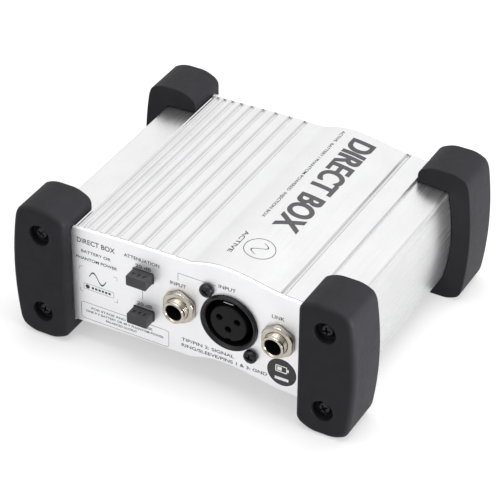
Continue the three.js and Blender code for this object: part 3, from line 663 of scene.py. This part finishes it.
def make_guards():
    blank = guard_mesh()
    middle = Matrix.Translation((0, 0, MID_Z * MM))
    for place, turn in HALF_TURNS.items():
        guard = moved_copy(blank, f"rubber_guard_{place}", middle @ turn @ middle.inverted())
        stand_for(soften(guard, 0.5, 3), f"corner_guard_{place}")
    bpy.data.objects.remove(blank)


# ---- Screws ----


def screw_blank(length):
    """Pan-head screw along Y with its head's underside at y = 0, its shank towards +Y."""
    top = -SCREW_HEAD_HEIGHT
    profile = [
        (0.6, top - 0.02),
        (1.6, top),
        (2.2, top + 0.22),
        (2.62, top + 0.62),
        (SCREW_HEAD_RADIUS, top + 1.15),
        (SCREW_HEAD_RADIUS, -0.25),
        (SCREW_HEAD_RADIUS - 0.15, 0),
        (SHANK_RADIUS, 0),
    ]
    depth = THREAD_PITCH
    while depth < length - 1:
        profile.append((SHANK_RADIUS, depth))
        profile.append((SHANK_RADIUS - THREAD_DEPTH, depth + THREAD_PITCH / 2))
        depth += THREAD_PITCH
    profile += [(SHANK_RADIUS, depth), (SHANK_RADIUS - 0.8, length)]
    blank = to_object(turned(profile, 0, 0, float, sides=40), "screw_blank")
    return carve(blank, cross_recess(top))


def cross_recess(top):
    """Two tapered slots that cross in a screw's head."""
    # Each end of a slot has a place along Y, half a length and half a width.
    mouth = (top - 0.5, 1.95, 0.42)
    foot = (top + 1.25, 0.9, 0.288)
    slots = []
    for across in (True, False):
        rings = []
        for y, reach, thick in (mouth, foot):
            a, b = (reach, thick) if across else (thick, reach)
            rings.append([(-a, y, -b), (a, y, -b), (a, y, b), (-a, y, b)])
        slots.append(skin(rings))
    return slots


def place_screw(blank, node, spin):
    """A copy of a screw on its CAD node, its recess turned by spin degrees."""
    low, high = mm_box(node)
    front = low.y < 0
    seat = low.y + SCREW_HEAD_HEIGHT if front else high.y - SCREW_HEAD_HEIGHT
    at = Vector(((low.x + high.x) / 2, seat, (low.z + high.z) / 2)) * MM
    face = Matrix.Identity(4) if front else Matrix.Rotation(math.pi, 4, "Z")
    move = Matrix.Translation(at) @ face @ Matrix.Rotation(math.radians(spin), 4, "Y")
    stand_for(soften(moved_copy(blank, f"fitted_{node}", move), 0.06), node)


def make_screws():
    guard_screws = sorted(node for node in SLOT_OF if node.startswith("guard_screw"))
    socket_screws = sorted(node for node in SLOT_OF if "xlr_screw" in node)
    for nodes in (guard_screws, socket_screws):
        low, high = mm_box(nodes[0])
        blank = screw_blank(high.y - low.y - SCREW_HEAD_HEIGHT)
        for index, node in enumerate(nodes):
            place_screw(blank, node, FIRST_SPIN + SPIN_STEP * index)
        bpy.data.objects.remove(blank)


# ---- Jacks ----


def ferrule_profile(mouth, back):
    """Closed outline of a bored tube with a plain collar at its mouth and a thread behind."""
    collar = mouth + 1.1
    root = JACK_THREAD - JACK_THREAD_DEPTH
    profile = [
        (JACK_BORE, back),
        (JACK_BORE, mouth + 0.7),
        (JACK_BORE + 0.2, mouth + 0.25),
        (JACK_BORE + 0.5, mouth),
        (JACK_THREAD - 0.35, mouth),
        (JACK_THREAD - 0.08, mouth + 0.14),
        (JACK_THREAD, mouth + 0.4),
        (JACK_THREAD, collar),
        (root, collar + 0.2),
    ]
    depth = collar + 0.5
    while depth < back - JACK_THREAD_PITCH:
        profile += [(root, depth), (JACK_THREAD, depth + 0.3), (JACK_THREAD, depth + 0.42)]
        depth += JACK_THREAD_PITCH
    return [*profile, (JACK_THREAD - 0.3, back)]


def make_jack(name):
    low, high = mm_box(f"{name}_ferrule")
    x, z = (low.x + high.x) / 2, (low.z + high.z) / 2
    mouth = low.y - FRONT_FACE
    back = high.y - FRONT_FACE
    tube = turned(ferrule_profile(mouth, back), x, z, inward_from_front, closed=True)
    ferrule = to_object(tube, f"{name}_threaded_ferrule")
    stand_for(soften(ferrule, 0.05), f"{name}_ferrule")
    # A thin black sheet in the bore paints the shade inside it.
    make_painted_bore_shade(name, x, z, mouth, back)
    make_nut(name, x, z)


def make_painted_bore_shade(name, x, z, mouth, back):
    """Thin black sheet over the ferrule's bore: painted shade that darkens the inside of the bore."""
    outer = JACK_BORE - 0.02
    inner = PLUG_RADIUS + 0.02
    start = mouth + 0.6
    profile = [(outer, start), (outer, back), (inner, back), (inner, start)]
    bore_shade_sheet = to_object(turned(profile, x, z, inward_from_front, closed=True), f"{name}_liner")
    # Black plastic here is painted shade for the bore, not a part of the jack.
    bore_shade_sheet.data.materials.append(LOOKS["black_plastic"])
    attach(bore_shade_sheet, ENCLOSURE)
    soften(bore_shade_sheet, 0.02, 1)


def make_nut(name, x, z):
    """Hexagon nut with a rounded front."""
    low, high = mm_box(f"{name}_nut")
    flats = high.x - low.x
    corner = flats / math.sqrt(3)
    hexagon = []
    for i in range(6):
        angle = math.radians(60 * i + 30)
        hexagon.append((x + corner * math.cos(angle), z + corner * math.sin(angle)))
    nut = to_object(prism(hexagon, low.y, high.y), f"{name}_hexagon_nut")
    rounding = [
        (corner - 2.1, low.y - TRIM),
        (corner - 0.75, low.y + 0.5),
        (corner - 0.45, low.y + 1.4),
        (corner - 0.45, high.y + PAST),
    ]
    carve(nut, [turned(rounding, x, z, float)], "INTERSECT")
    carve(nut, [bore(JACK_THREAD + TRIM, x, z, low.y - PAST, high.y + PAST)])
    stand_for(soften(nut, 0.2, 3), f"{name}_nut")


# ---- XLR connectors ----


def shell_profile(bore_radius, proud, depth):
    """Rim and barrel of a connector from the end of its bore to the end of its barrel."""
    female = bore_radius == XLR_FEMALE_BORE
    bevel, lip = (0.9, 1.15) if female else (0.95, 1.4)
    return [
        (bore_radius, depth),
        (bore_radius, 1.2 - proud),
        (bore_radius + 0.5, 0.45 - proud),
        (bore_radius + bevel, 0.12 - proud),
        (bore_radius + lip, -proud),
        (XLR_RIM_RADIUS - 0.4, -proud),
        (XLR_RIM_RADIUS - 0.12, 0.12 - proud),
        (XLR_RIM_RADIUS, 0.45 - proud),
        (XLR_RIM_RADIUS, MOUNTING_DEPTH + 1),
        (XLR_BARREL_RADIUS, MOUNTING_DEPTH + 1.2),
        (XLR_BARREL_RADIUS, depth),
    ]


def flange_mesh(name, low, high, y0, y1):
    """The plate behind the panel that carries a connector, with its screw holes."""
    middle = (low + high) / 2
    plate = prism(rounded_rectangle(low.x, low.z, high.x, high.z, 2), y0, y1)
    flange = to_object(plate, "flange")
    cuts = [bore(XLR_BARREL_RADIUS - 0.2, middle.x, middle.z, y0 - PAST, y1 + PAST)]
    for level in ("upper", "lower"):
        spot = mm_centre(f"{name}_screw_{level}")
        cuts.append(bore(SCREW_HOLE_RADIUS, spot.x, spot.z, y0 - PAST, y1 + PAST))
    carve(flange, cuts)
    bm = bmesh.new()
    bm.from_mesh(flange.data)
    bm.transform(Matrix.Scale(1 / MM, 4))
    bpy.data.objects.remove(flange)
    return bm


def xlr_shell(name, bore_radius, place):
    """Rim, flange behind the panel and barrel of a connector, bored right through."""
    low, high = mm_box(f"{name}_shell")
    middle = (low + high) / 2
    front = place(0) < 0
    proud = -(low.y - FRONT_FACE) if front else high.y - REAR_FACE
    depth = (high.y - low.y) - proud
    profile = shell_profile(bore_radius, proud, depth)
    ring = turned(profile, middle.x, middle.z, place, closed=True, sides=96)
    shell = to_object(ring, f"{name}_die_cast_shell")
    y0, y1 = sorted((place(MOUNTING_DEPTH), place(MOUNTING_DEPTH + XLR_FLANGE)))
    carve(shell, [flange_mesh(name, low, high, y0, y1)], "UNION")
    stand_for(soften(shell, 0.08), f"{name}_shell")
    return middle


def make_input_xlr():
    middle = xlr_shell("input_xlr", XLR_FEMALE_BORE, inward_from_front)
    low, high = mm_box("input_xlr_insert")
    face = low.y - FRONT_FACE
    back = high.y - FRONT_FACE
    radius = XLR_INSERT_RADIUS
    profile = [
        (radius - 0.9, face),
        (radius - 0.35, face + 0.05),
        (radius - 0.08, face + 0.3),
        (radius, face + 0.7),
        (radius, XLR_INSERT_REACH),
        (XLR_FEMALE_BORE - 0.1, XLR_INSERT_REACH),
        (XLR_FEMALE_BORE - 0.1, back),
    ]
    solid = turned(profile, middle.x, middle.z, inward_from_front)
    insert = to_object(solid, "input_xlr_socket_insert")
    cuts = []
    slot_end = 12
    contact = [(1.75, face - PAST), (1.35, face + 0.45), (1.35, slot_end)]
    for dx, dz in CONTACTS:
        cuts.append(turned(contact, middle.x + dx, middle.z + dz, inward_from_front, sides=32))
    cuts.append(block(
        (middle.x - XLR_KEY_HALF, FRONT_FACE + face - PAST, middle.z - radius - PAST),
        (middle.x + XLR_KEY_HALF, FRONT_FACE + slot_end, middle.z - radius + 1),
    ))
    carve(insert, cuts)
    stand_for(soften(insert, 0.08), "input_xlr_insert")
    make_retaining_spring()


def make_retaining_spring():
    """Narrow bent strip above the insert, in the gap that takes a plug's shell."""
    low, high = mm_box("input_xlr_retaining_spring")
    bend = [
        (low.y, high.z - 0.1),
        (low.y + 0.5, high.z - 0.35),
        (low.y + 1.4, low.z + 0.3),
        (low.y + 2.1, low.z),
        (low.y + 3.0, low.z + 0.25),
        (low.y + 5.4, high.z - 0.4),
        (high.y, high.z - 0.4),
    ]
    gauge = 0.36
    outline = bend + [(y, z + gauge) for y, z in reversed(bend)]
    rings = [[(x, y, z) for y, z in outline] for x in (low.x, high.x)]
    spring = to_object(skin(rings), "retaining_spring_strip")
    stand_for(soften(spring, 0.05), "input_xlr_retaining_spring")


def make_output_xlr():
    middle = xlr_shell("output_xlr", XLR_MALE_BORE, inward_from_rear)
    low, high = mm_box("output_xlr_insulator")
    front = REAR_FACE - high.y
    back = REAR_FACE - low.y
    radius = XLR_MALE_BORE - 0.1
    profile = [(radius - 0.5, front), (radius, front + 0.4), (radius, back)]
    solid = turned(profile, middle.x, middle.z, inward_from_rear)
    disc = to_object(solid, "output_xlr_insulator_disc")
    pins = [f"output_xlr_pin_{index + 1}" for index in range(len(CONTACTS))]
    cuts = []
    for pin in pins:
        centre = mm_centre(pin)
        cuts.append(bore(XLR_PIN_HOLE, centre.x, centre.z, low.y - PAST, high.y + PAST, 32))
    carve(disc, cuts)
    stand_for(soften(disc, 0.08), "output_xlr_insulator")
    for pin in pins:
        make_pin(pin)


def make_pin(node):
    """Contact pin with a rounded tip."""
    low, high = mm_box(node)
    x, z = (low.x + high.x) / 2, (low.z + high.z) / 2
    tip = REAR_FACE - high.y
    tail = REAR_FACE - low.y
    radius = XLR_PIN_RADIUS
    profile = [
        (0.15, tip),
        (0.6, tip + 0.08),
        (0.95, tip + 0.35),
        (1.14, tip + 0.8),
        (radius, tip + 1.4),
        (radius, tail - 0.2),
        (radius - 0.2, tail),
    ]
    pin = to_object(turned(profile, x, z, inward_from_rear, sides=32), f"turned_{node}")
    stand_for(soften(pin, 0.04, 1), node)


# ---- Switch caps and light ----


def make_cap(node, body):
    """Moulded cap with three shallow marks on its top and the plunger behind it."""
    low, high = mm_box(node)
    centre_x, centre_z = (low.x + high.x) / 2, (low.z + high.z) / 2
    if low.y < FRONT_FACE:
        y0, y1 = low.y, low.y + CAP_LENGTH
        stem = (y1 - 1, high.y)
        marks = y0 + 1.5
    else:
        y0, y1 = high.y - CAP_LENGTH, high.y
        stem = (low.y, y0 + 1)
        marks = y1 - 3.1
    outline = rounded_rectangle(low.x, low.z, high.x, high.z, 0.35, 3)
    cap = to_object(prism(outline, y0, y1), f"moulded_{node}")
    rod = block(
        (centre_x - PLUNGER_HALF, stem[0], centre_z - PLUNGER_HALF),
        (centre_x + PLUNGER_HALF, stem[1], centre_z + PLUNGER_HALF),
    )
    carve(cap, [rod], "UNION")
    dimples = []
    for offset in CAP_MARKS:
        x = centre_x + offset
        dimples.append(block(
            (x, marks, high.z - 0.4),
            (x + CAP_MARK_WIDTH, marks + CAP_MARK_LENGTH, high.z + PAST),
        ))
    carve(cap, dimples)
    stand_for(soften(cap, 0.28, 3), node, body)


def make_led():
    """Domed red light with a collar behind the panel and two bent legs."""
    low, high = mm_box("status_led")
    x = (low.x + high.x) / 2
    proud = high.y - REAR_FACE
    behind = MOUNTING_DEPTH
    radius = LED_RADIUS
    profile = [
        (0.2, -proud),
        (0.65, 0.08 - proud),
        (1.05, 0.3 - proud),
        (1.32, 0.65 - proud),
        (1.46, 1.05 - proud),
        (radius, 1.4 - proud),
        (radius, behind),
        (LED_COLLAR_RADIUS, behind),
        (LED_COLLAR_RADIUS, behind + 1),
        (radius, behind + 1),
        (radius, behind + 3),
    ]
    led = to_object(turned(profile, x, LED_Z, inward_from_rear, sides=48), "red_light")
    wire = 0.25
    y0, y1 = low.y, REAR_FACE - behind - 2
    legs = []
    for leg in (x - 0.9, x + 0.9):
        legs.append(block((leg - wire, y0, LED_Z - wire), (leg + wire, y1, LED_Z + wire)))
        legs.append(block((leg - wire, y0, low.z), (leg + wire, y0 + 2 * wire, LED_Z)))
    carve(led, legs, "UNION")
    stand_for(soften(led, 0.06), "status_led")


# ---- Carried-over pieces ----


def finish_cad_nodes():
    """Materials for every CAD node, and rounded edges on those that stay in view."""
    for node, obj in frame["nodes"].items():
        obj.data.materials.clear()
        obj.data.materials.append(LOOKS[SLOT_OF[node]])
        if not obj.hide_render:
            round_cad_edges(obj)


def round_cad_edges(obj):
    obj.data.shade_smooth()
    obj.data.set_sharp_from_angle(angle=math.radians(35))
    merge = obj.modifiers.new("flat_faces", "DECIMATE")
    merge.decimate_type = "DISSOLVE"
    merge.angle_limit = math.radians(1)
    bevel = obj.modifiers.new("edge_rounding", "BEVEL")
    bevel.width = 0.12 * MM
    bevel.segments = 2
    bevel.limit_method = "ANGLE"
    bevel.angle_limit = math.radians(40)


# ---- Printing ----


class Print:
    """Flat printing gathered in the plane of a face, then laid on it in one piece."""

    def __init__(self):
        self.bm = bmesh.new()

    def plate(self, outline, opening=None):
        """A flat shape of (u, v) points, with an opening of as many points or none."""
        if opening:
            rings = [[(u, v, w) for u, v in ring]
                     for ring, w in ((outline, 0), (outline, INK), (opening, INK), (opening, 0))]
            made = skin(rings, closed=True)
        else:
            made = skin([[(u, v, w) for u, v in outline] for w in (0, INK)])
        self.take(made)

    def take(self, made):
        bmesh.ops.recalc_face_normals(made, faces=made.faces)
        mesh = bpy.data.meshes.new("print")
        made.to_mesh(mesh)
        made.free()
        self.bm.from_mesh(mesh)
        bpy.data.meshes.remove(mesh)

    def bar(self, u0, v0, u1, v1):
        self.plate([(u0, v0), (u1, v0), (u1, v1), (u0, v1)])

    def disc(self, u, v, radius, sides=64):
        turn = [2 * math.pi * i / sides for i in range(sides)]
        self.plate([(u + radius * math.cos(a), v + radius * math.sin(a)) for a in turn])

    def ring(self, u, v, radius, line):
        turn = [2 * math.pi * i / 64 for i in range(64)]
        edges = [
            [(u + r * math.cos(a), v + r * math.sin(a)) for a in turn]
            for r in (radius, radius - line)
        ]
        self.plate(*edges)

    def frame(self, u0, v0, u1, v1, radius, line):
        outer = rounded_rectangle(u0, v0, u1, v1, radius)
        inner = rounded_rectangle(u0 + line, v0 + line, u1 - line, v1 - line, radius - line)
        self.plate(outer, inner)

    def sine(self, u0, u1, v, height, line):
        """A band along one wave of a sine."""
        steps = 24
        middle = []
        for i in range(steps + 1):
            t = i / steps
            middle.append((u0 + t * (u1 - u0), v + height * math.sin(2 * math.pi * t)))
        upper = [(u, w + line / 2) for u, w in middle]
        lower = [(u, w - line / 2) for u, w in reversed(middle)]
        self.plate(upper + lower)

    def words(self, text, u0, u1, v0, v1, weight=0.012, lift=0.0):
        """A line of text fitted into a box, its strokes thickened by weight, its face lifted."""
        curve = bpy.data.curves.new("words", "FONT")
        curve.body = text
        curve.extrude = 0.5
        curve.offset = weight
        carrier = bpy.data.objects.new("words", curve)
        bpy.context.scene.collection.objects.link(carrier)
        shape = carrier.evaluated_get(bpy.context.evaluated_depsgraph_get())
        mesh = bpy.data.meshes.new_from_object(shape)
        bpy.data.objects.remove(carrier)
        bpy.data.curves.remove(curve)
        xs = [vert.co.x for vert in mesh.vertices]
        ys = [vert.co.y for vert in mesh.vertices]
        for vert in mesh.vertices:
            u = u0 + (vert.co.x - min(xs)) / (max(xs) - min(xs)) * (u1 - u0)
            v = v0 + (vert.co.y - min(ys)) / (max(ys) - min(ys)) * (v1 - v0)
            vert.co = (u, v, (vert.co.z + 0.5) * (INK + lift))
        self.bm.from_mesh(mesh)
        bpy.data.meshes.remove(mesh)

    def lines(self, rows):
        """Several lines of text, each with its box."""
        for text, *box in rows:
            self.words(text, *box)

    def bold_words(self, text, u0, u1, v0, v1, weight, spread):
        """Text whose upright strokes are widened by copies laid side by side."""
        for layer, shift in enumerate((-spread, 0, spread)):
            lift = 0.004 * layer
            self.words(text, u0 + shift, u1 + shift, v0, v1, weight, lift)

    def split(self, step):
        """Cuts the shapes across v, so that they can follow a curved face."""
        vs = [vert.co.y for vert in self.bm.verts]
        v = min(vs) + step
        while v < max(vs):
            geometry = [*self.bm.verts, *self.bm.edges, *self.bm.faces]
            bmesh.ops.bisect_plane(
                self.bm, geom=geometry, plane_co=(0, v, 0), plane_no=(0, 1, 0)
            )
            v += step

    def lay(self, name, mapping, look):
        """One printed piece, each point of it taken to the face by a mapping of u, v and w."""
        bmesh.ops.remove_doubles(self.bm, verts=self.bm.verts, dist=1e-5)
        for vert in self.bm.verts:
            vert.co = mapping(*vert.co)
        obj = to_object(self.bm, name)
        obj.data.materials.append(look)
        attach(obj, ENCLOSURE)


def on_front(u, v, w):
    """u runs towards +X and v up."""
    return (u, FRONT_FACE + INK_SINK - w, v)


def on_rear(u, v, w):
    """u runs to the right as seen from behind, which is towards -X."""
    return (-u, REAR_FACE - INK_SINK + w, v)


def on_deck(u, v, w):
    """u runs towards the input panel and v towards +X."""
    return (v, -u, deck_z(v) - INK_SINK + w)


def ink_look(name, color):
    look = Look(name, color, 0.6)
    look.set(Specular_IOR_Level=0.2)
    look.vary_color(look.noise(0.8), 0.85, 1.2)
    look.bump(look.noise(0.15), 0.004)
    return look.material


# Lines of text, each with the left, right, lower and upper sides of its box.
TITLE_WORDS = [
    ("DIRECT BOX", -48, -31, 46.9, 49.2),
    ("BATTERY OR", -46.2, -33, 42.6, 44),
    ("PHANTOM POWER", -48.6, -30.2, 39.2, 40.6),
]
ATTENUATOR_WORDS = [
    ("ATTENUATION", -27, -11.4, 47.4, 49),
    ("20 dB", -22, -15.1, 44.2, 45.9),
    ("20 dB", -21.6, -14.7, 26.6, 28.2),
]
SOCKET_WORDS = [
    ("INPUT", -6.8, 0.2, 41.9, 43.5),
    ("INPUT", 14.2, 21.5, 47.8, 49.4),
    ("LINK", 36.8, 42.2, 42.4, 44),
    ("TIP/PIN 2: SIGNAL", -2, 21, 16.7, 18.2),
    ("RING/SLEEVE/PINS 1 & 3: GND", -2, 35.2, 13.9, 15.4),
]
LABEL_WORDS = [
    ("FOR STAGE AND STUDIO USE", -42.5, -15, 16.2, 17.25),
    ("ONE 9 V BATTERY OR 48 V PHANTOM POWER", -45, -10, 14.3, 15.35),
    ("BALANCED OUTPUT", -36, -22, 12.4, 13.45),
]
REAR_LABEL_WORDS = [
    ("DIRECT BOX", 28.5, 44, 46.4, 48.4),
    ("9 V BATTERY OR 48 V PHANTOM POWER", 10.5, 44, 43.2, 44.7),
]


def front_printing(ink):
    sheet = Print()
    for rows in (TITLE_WORDS, ATTENUATOR_WORDS, SOCKET_WORDS, LABEL_WORDS):
        sheet.lines(rows)
    power_marks(sheet)
    # The line between the two attenuation caps and the one that joins the two inputs.
    sheet.bar(-19.12, 29.8, -19.12 + LINE, 34.6)
    sheet.bar(-3.38, 44.7, -3.38 + LINE, 48.2)
    sheet.bar(-3.38, 48.2 - LINE, 13.1, 48.2)
    sheet.frame(-47.2, 10.9, -7.6, 18.9, 1.2, LINE)
    # The dark disc under the link jack.
    sheet.disc(41.4, 18.2, 6.2)
    sheet.lay("front_panel_printing", on_front, ink)


def power_marks(sheet):
    """A sine wave over a framed row of dashes, between four corner brackets."""
    sheet.sine(-43, -35.4, 31.9, 2.3, 0.75)
    sheet.frame(-45.6, 25.4, -32, 28.2, 0.4, 0.12)
    sheet.disc(-43.9, 26.8, 0.95, 32)
    for i in range(6):
        sheet.bar(-42 + i * 1.5, 26.3, -41 + i * 1.5, 27.3)
    half = 0.06
    for u, reach_u in ((-47.2, 1.6), (-30.4, -1.6)):
        for v, reach_v in ((35.8, -1.6), (23.9, 1.6)):
            sheet.bar(min(u, u + reach_u), v - half, max(u, u + reach_u), v + half)
            sheet.bar(u - half, min(v, v + reach_v), u + half, max(v, v + reach_v))


def front_symbol(light):
    """Plain battery outline on the dark disc under the link jack."""
    symbol = Print()
    symbol.frame(38.7, 18.1, 43.7, 21.3, 0.5, 0.4)
    symbol.bar(43.75, 19, 44.4, 20.4)
    symbol.bar(39.5, 18.9, 41.4, 20.5)
    symbol.bar(38.5, 14.4, 44.3, 15.7)
    symbol.lay("front_panel_disc_symbol", lambda u, v, w: on_front(u, v, w + INK), light)


def rear_printing(ink):
    """Words centred on the connector, caps and light, each with a reach to either side."""
    sheet = Print()
    for node, text, reach, v0, v1 in (
        ("output_xlr_shell", "OUTPUT", 4.2, 47.8, 49.4),
        ("output_xlr_shell", "1 GND   2 +   3 -", 11, 14.2, 15.7),
        ("ground_lift_cap", "GROUND LIFT", 7.4, 30.4, 32),
        ("power_cap", "ON / OFF", 4.7, 30.4, 32),
        ("status_led", "POWER", 3.8, 30.4, 32),
    ):
        u = -mm_centre(node).x
        sheet.words(text, u - reach, u + reach, v0, v1)
    sheet.lines(REAR_LABEL_WORDS)
    sheet.frame(8, 41.4, 46.4, 51, 1.2, LINE)
    sheet.lay("rear_panel_printing", on_rear, ink)


def deck_printing(ink):
    sheet = Print()
    sheet.bold_words("DIRECT BOX", -47.8, 20.4, 17.8, 28.4, 0.02, 0.35)
    sheet.words("ACTIVE  BATTERY / PHANTOM POWERED  INJECTION BOX", -50.5, 18, 11.4, 13.3)
    sheet.ring(36.5, 21.5, 6.2, 0.3)
    sheet.sine(32.6, 40.4, 21.5, 2.6, 0.55)
    sheet.words("ACTIVE", 29, 44, 11.4, 13.4)
    sheet.split(1.5)
    sheet.lay("deck_printing", on_deck, ink)


# ---- Stage: the floor is in millimetres, the lights and the camera in metres ----

FLOOR_REACH = 3000
FLOOR_THICKNESS = 2
FLOOR_GAP = 0.02
FLOOR_GLOW = 0.46
WHITE = (1, 1, 1, 1)

# The studio is dimmest away from its bright side and brightest towards it.
BRIGHT_SIDE = (-0.25, 0.45, 0.86)
STUDIO_RANGE = (-0.3, 0.75)
STUDIO_STRENGTH = (0.35, 1.42)

LIGHT_TARGET = (0, 0, 0.03)

CAMERA_AZIMUTH = math.radians(28.53)
CAMERA_ELEVATION = math.radians(35.96)
CAMERA_ROLL = math.radians(0.65)
CAMERA_DISTANCE = 0.9168
CAMERA_TARGET = Vector((-0.0025, 0, 0.0245))
CAMERA_LENS = 166.3


def make_floor():
    low = (-FLOOR_REACH, -FLOOR_REACH, -FLOOR_THICKNESS)
    floor = to_object(block(low, (FLOOR_REACH, FLOOR_REACH, -FLOOR_GAP)), "floor")
    look = Look("floor", (0.3, 0.3, 0.3), 0.7)
    look.vary_color(look.noise(300), 0.995, 1.0)
    look.set(Emission_Color=WHITE, Emission_Strength=FLOOR_GLOW)
    floor.data.materials.append(look.material)


def area_light(name, place, size, power):
    data = bpy.data.lights.new(name, "AREA")
    data.shape = "RECTANGLE"
    data.size, data.size_y = size
    data.energy = power
    light = bpy.data.objects.new(name, data)
    light.location = place
    aim = Vector(LIGHT_TARGET) - Vector(place)
    light.rotation_euler = aim.to_track_quat("-Z", "Y").to_euler()
    bpy.context.scene.collection.objects.link(light)


def make_world():
    """A studio that is bright above and behind the box and dim in front of and below it."""
    world = bpy.data.worlds.new("studio")
    bpy.context.scene.world = world
    world.use_nodes = True
    nodes = world.node_tree.nodes
    links = world.node_tree.links
    direction = nodes.new("ShaderNodeTexCoord").outputs["Generated"]
    facing = nodes.new("ShaderNodeVectorMath")
    facing.operation = "DOT_PRODUCT"
    facing.inputs[1].default_value = Vector(BRIGHT_SIDE).normalized()
    links.new(direction, facing.inputs[0])
    strength = nodes.new("ShaderNodeMapRange")
    limits = zip(("From Min", "From Max", "To Min", "To Max"), STUDIO_RANGE + STUDIO_STRENGTH)
    for name, value in limits:
        strength.inputs[name].default_value = value
    links.new(facing.outputs["Value"], strength.inputs["Value"])
    links.new(strength.outputs["Result"], nodes["Background"].inputs["Strength"])
    nodes["Background"].inputs["Color"].default_value = WHITE


def make_lights():
    area_light("top_softbox", place=(0.1, 0, 1.2), size=(0.8, 0.8), power=11)
    area_light("right_side", place=(1.15, -0.05, 0.15), size=(0.5, 0.25), power=30)
    area_light("front_fill", place=(-0.4, -1.0, 0.8), size=(0.8, 0.8), power=3.5)


def make_camera():
    """A long lens above the input panel's right-hand end."""
    back = Vector((
        math.sin(CAMERA_AZIMUTH) * math.cos(CAMERA_ELEVATION),
        -math.cos(CAMERA_AZIMUTH) * math.cos(CAMERA_ELEVATION),
        math.sin(CAMERA_ELEVATION),
    ))
    right = Vector((0, 0, 1)).cross(back).normalized()
    up = back.cross(right)
    rolled_right = math.cos(CAMERA_ROLL) * right + math.sin(CAMERA_ROLL) * up
    rolled_up = math.cos(CAMERA_ROLL) * up - math.sin(CAMERA_ROLL) * right
    data = bpy.data.cameras.new("camera")
    data.sensor_width = 36
    data.lens = CAMERA_LENS
    data.clip_start = 0.05
    data.clip_end = 20
    camera = bpy.data.objects.new("camera", data)
    turn = Matrix((rolled_right, rolled_up, back)).transposed().to_4x4()
    camera.matrix_world = Matrix.Translation(CAMERA_TARGET + back * CAMERA_DISTANCE) @ turn
    bpy.context.scene.collection.objects.link(camera)
    bpy.context.scene.camera = camera


# ---- The box ----

make_camera()
make_sleeve()
make_panels()
make_guards()
make_screws()
make_jack("input_jack")
make_jack("link_jack")
make_input_xlr()
make_output_xlr()
for joint in frame["joints"]:
    button = joint["child"]
    make_cap(button.replace("_button", "_cap"), button)
make_led()
finish_cad_nodes()
dark_ink = ink_look("ink", (0.045, 0.044, 0.046))
light_ink = ink_look("light_ink", (0.75, 0.75, 0.76))
front_printing(dark_ink)
front_symbol(light_ink)
rear_printing(dark_ink)
deck_printing(dark_ink)
make_floor()
make_world()
make_lights()
bpy.context.scene.view_settings.view_transform = "Standard"
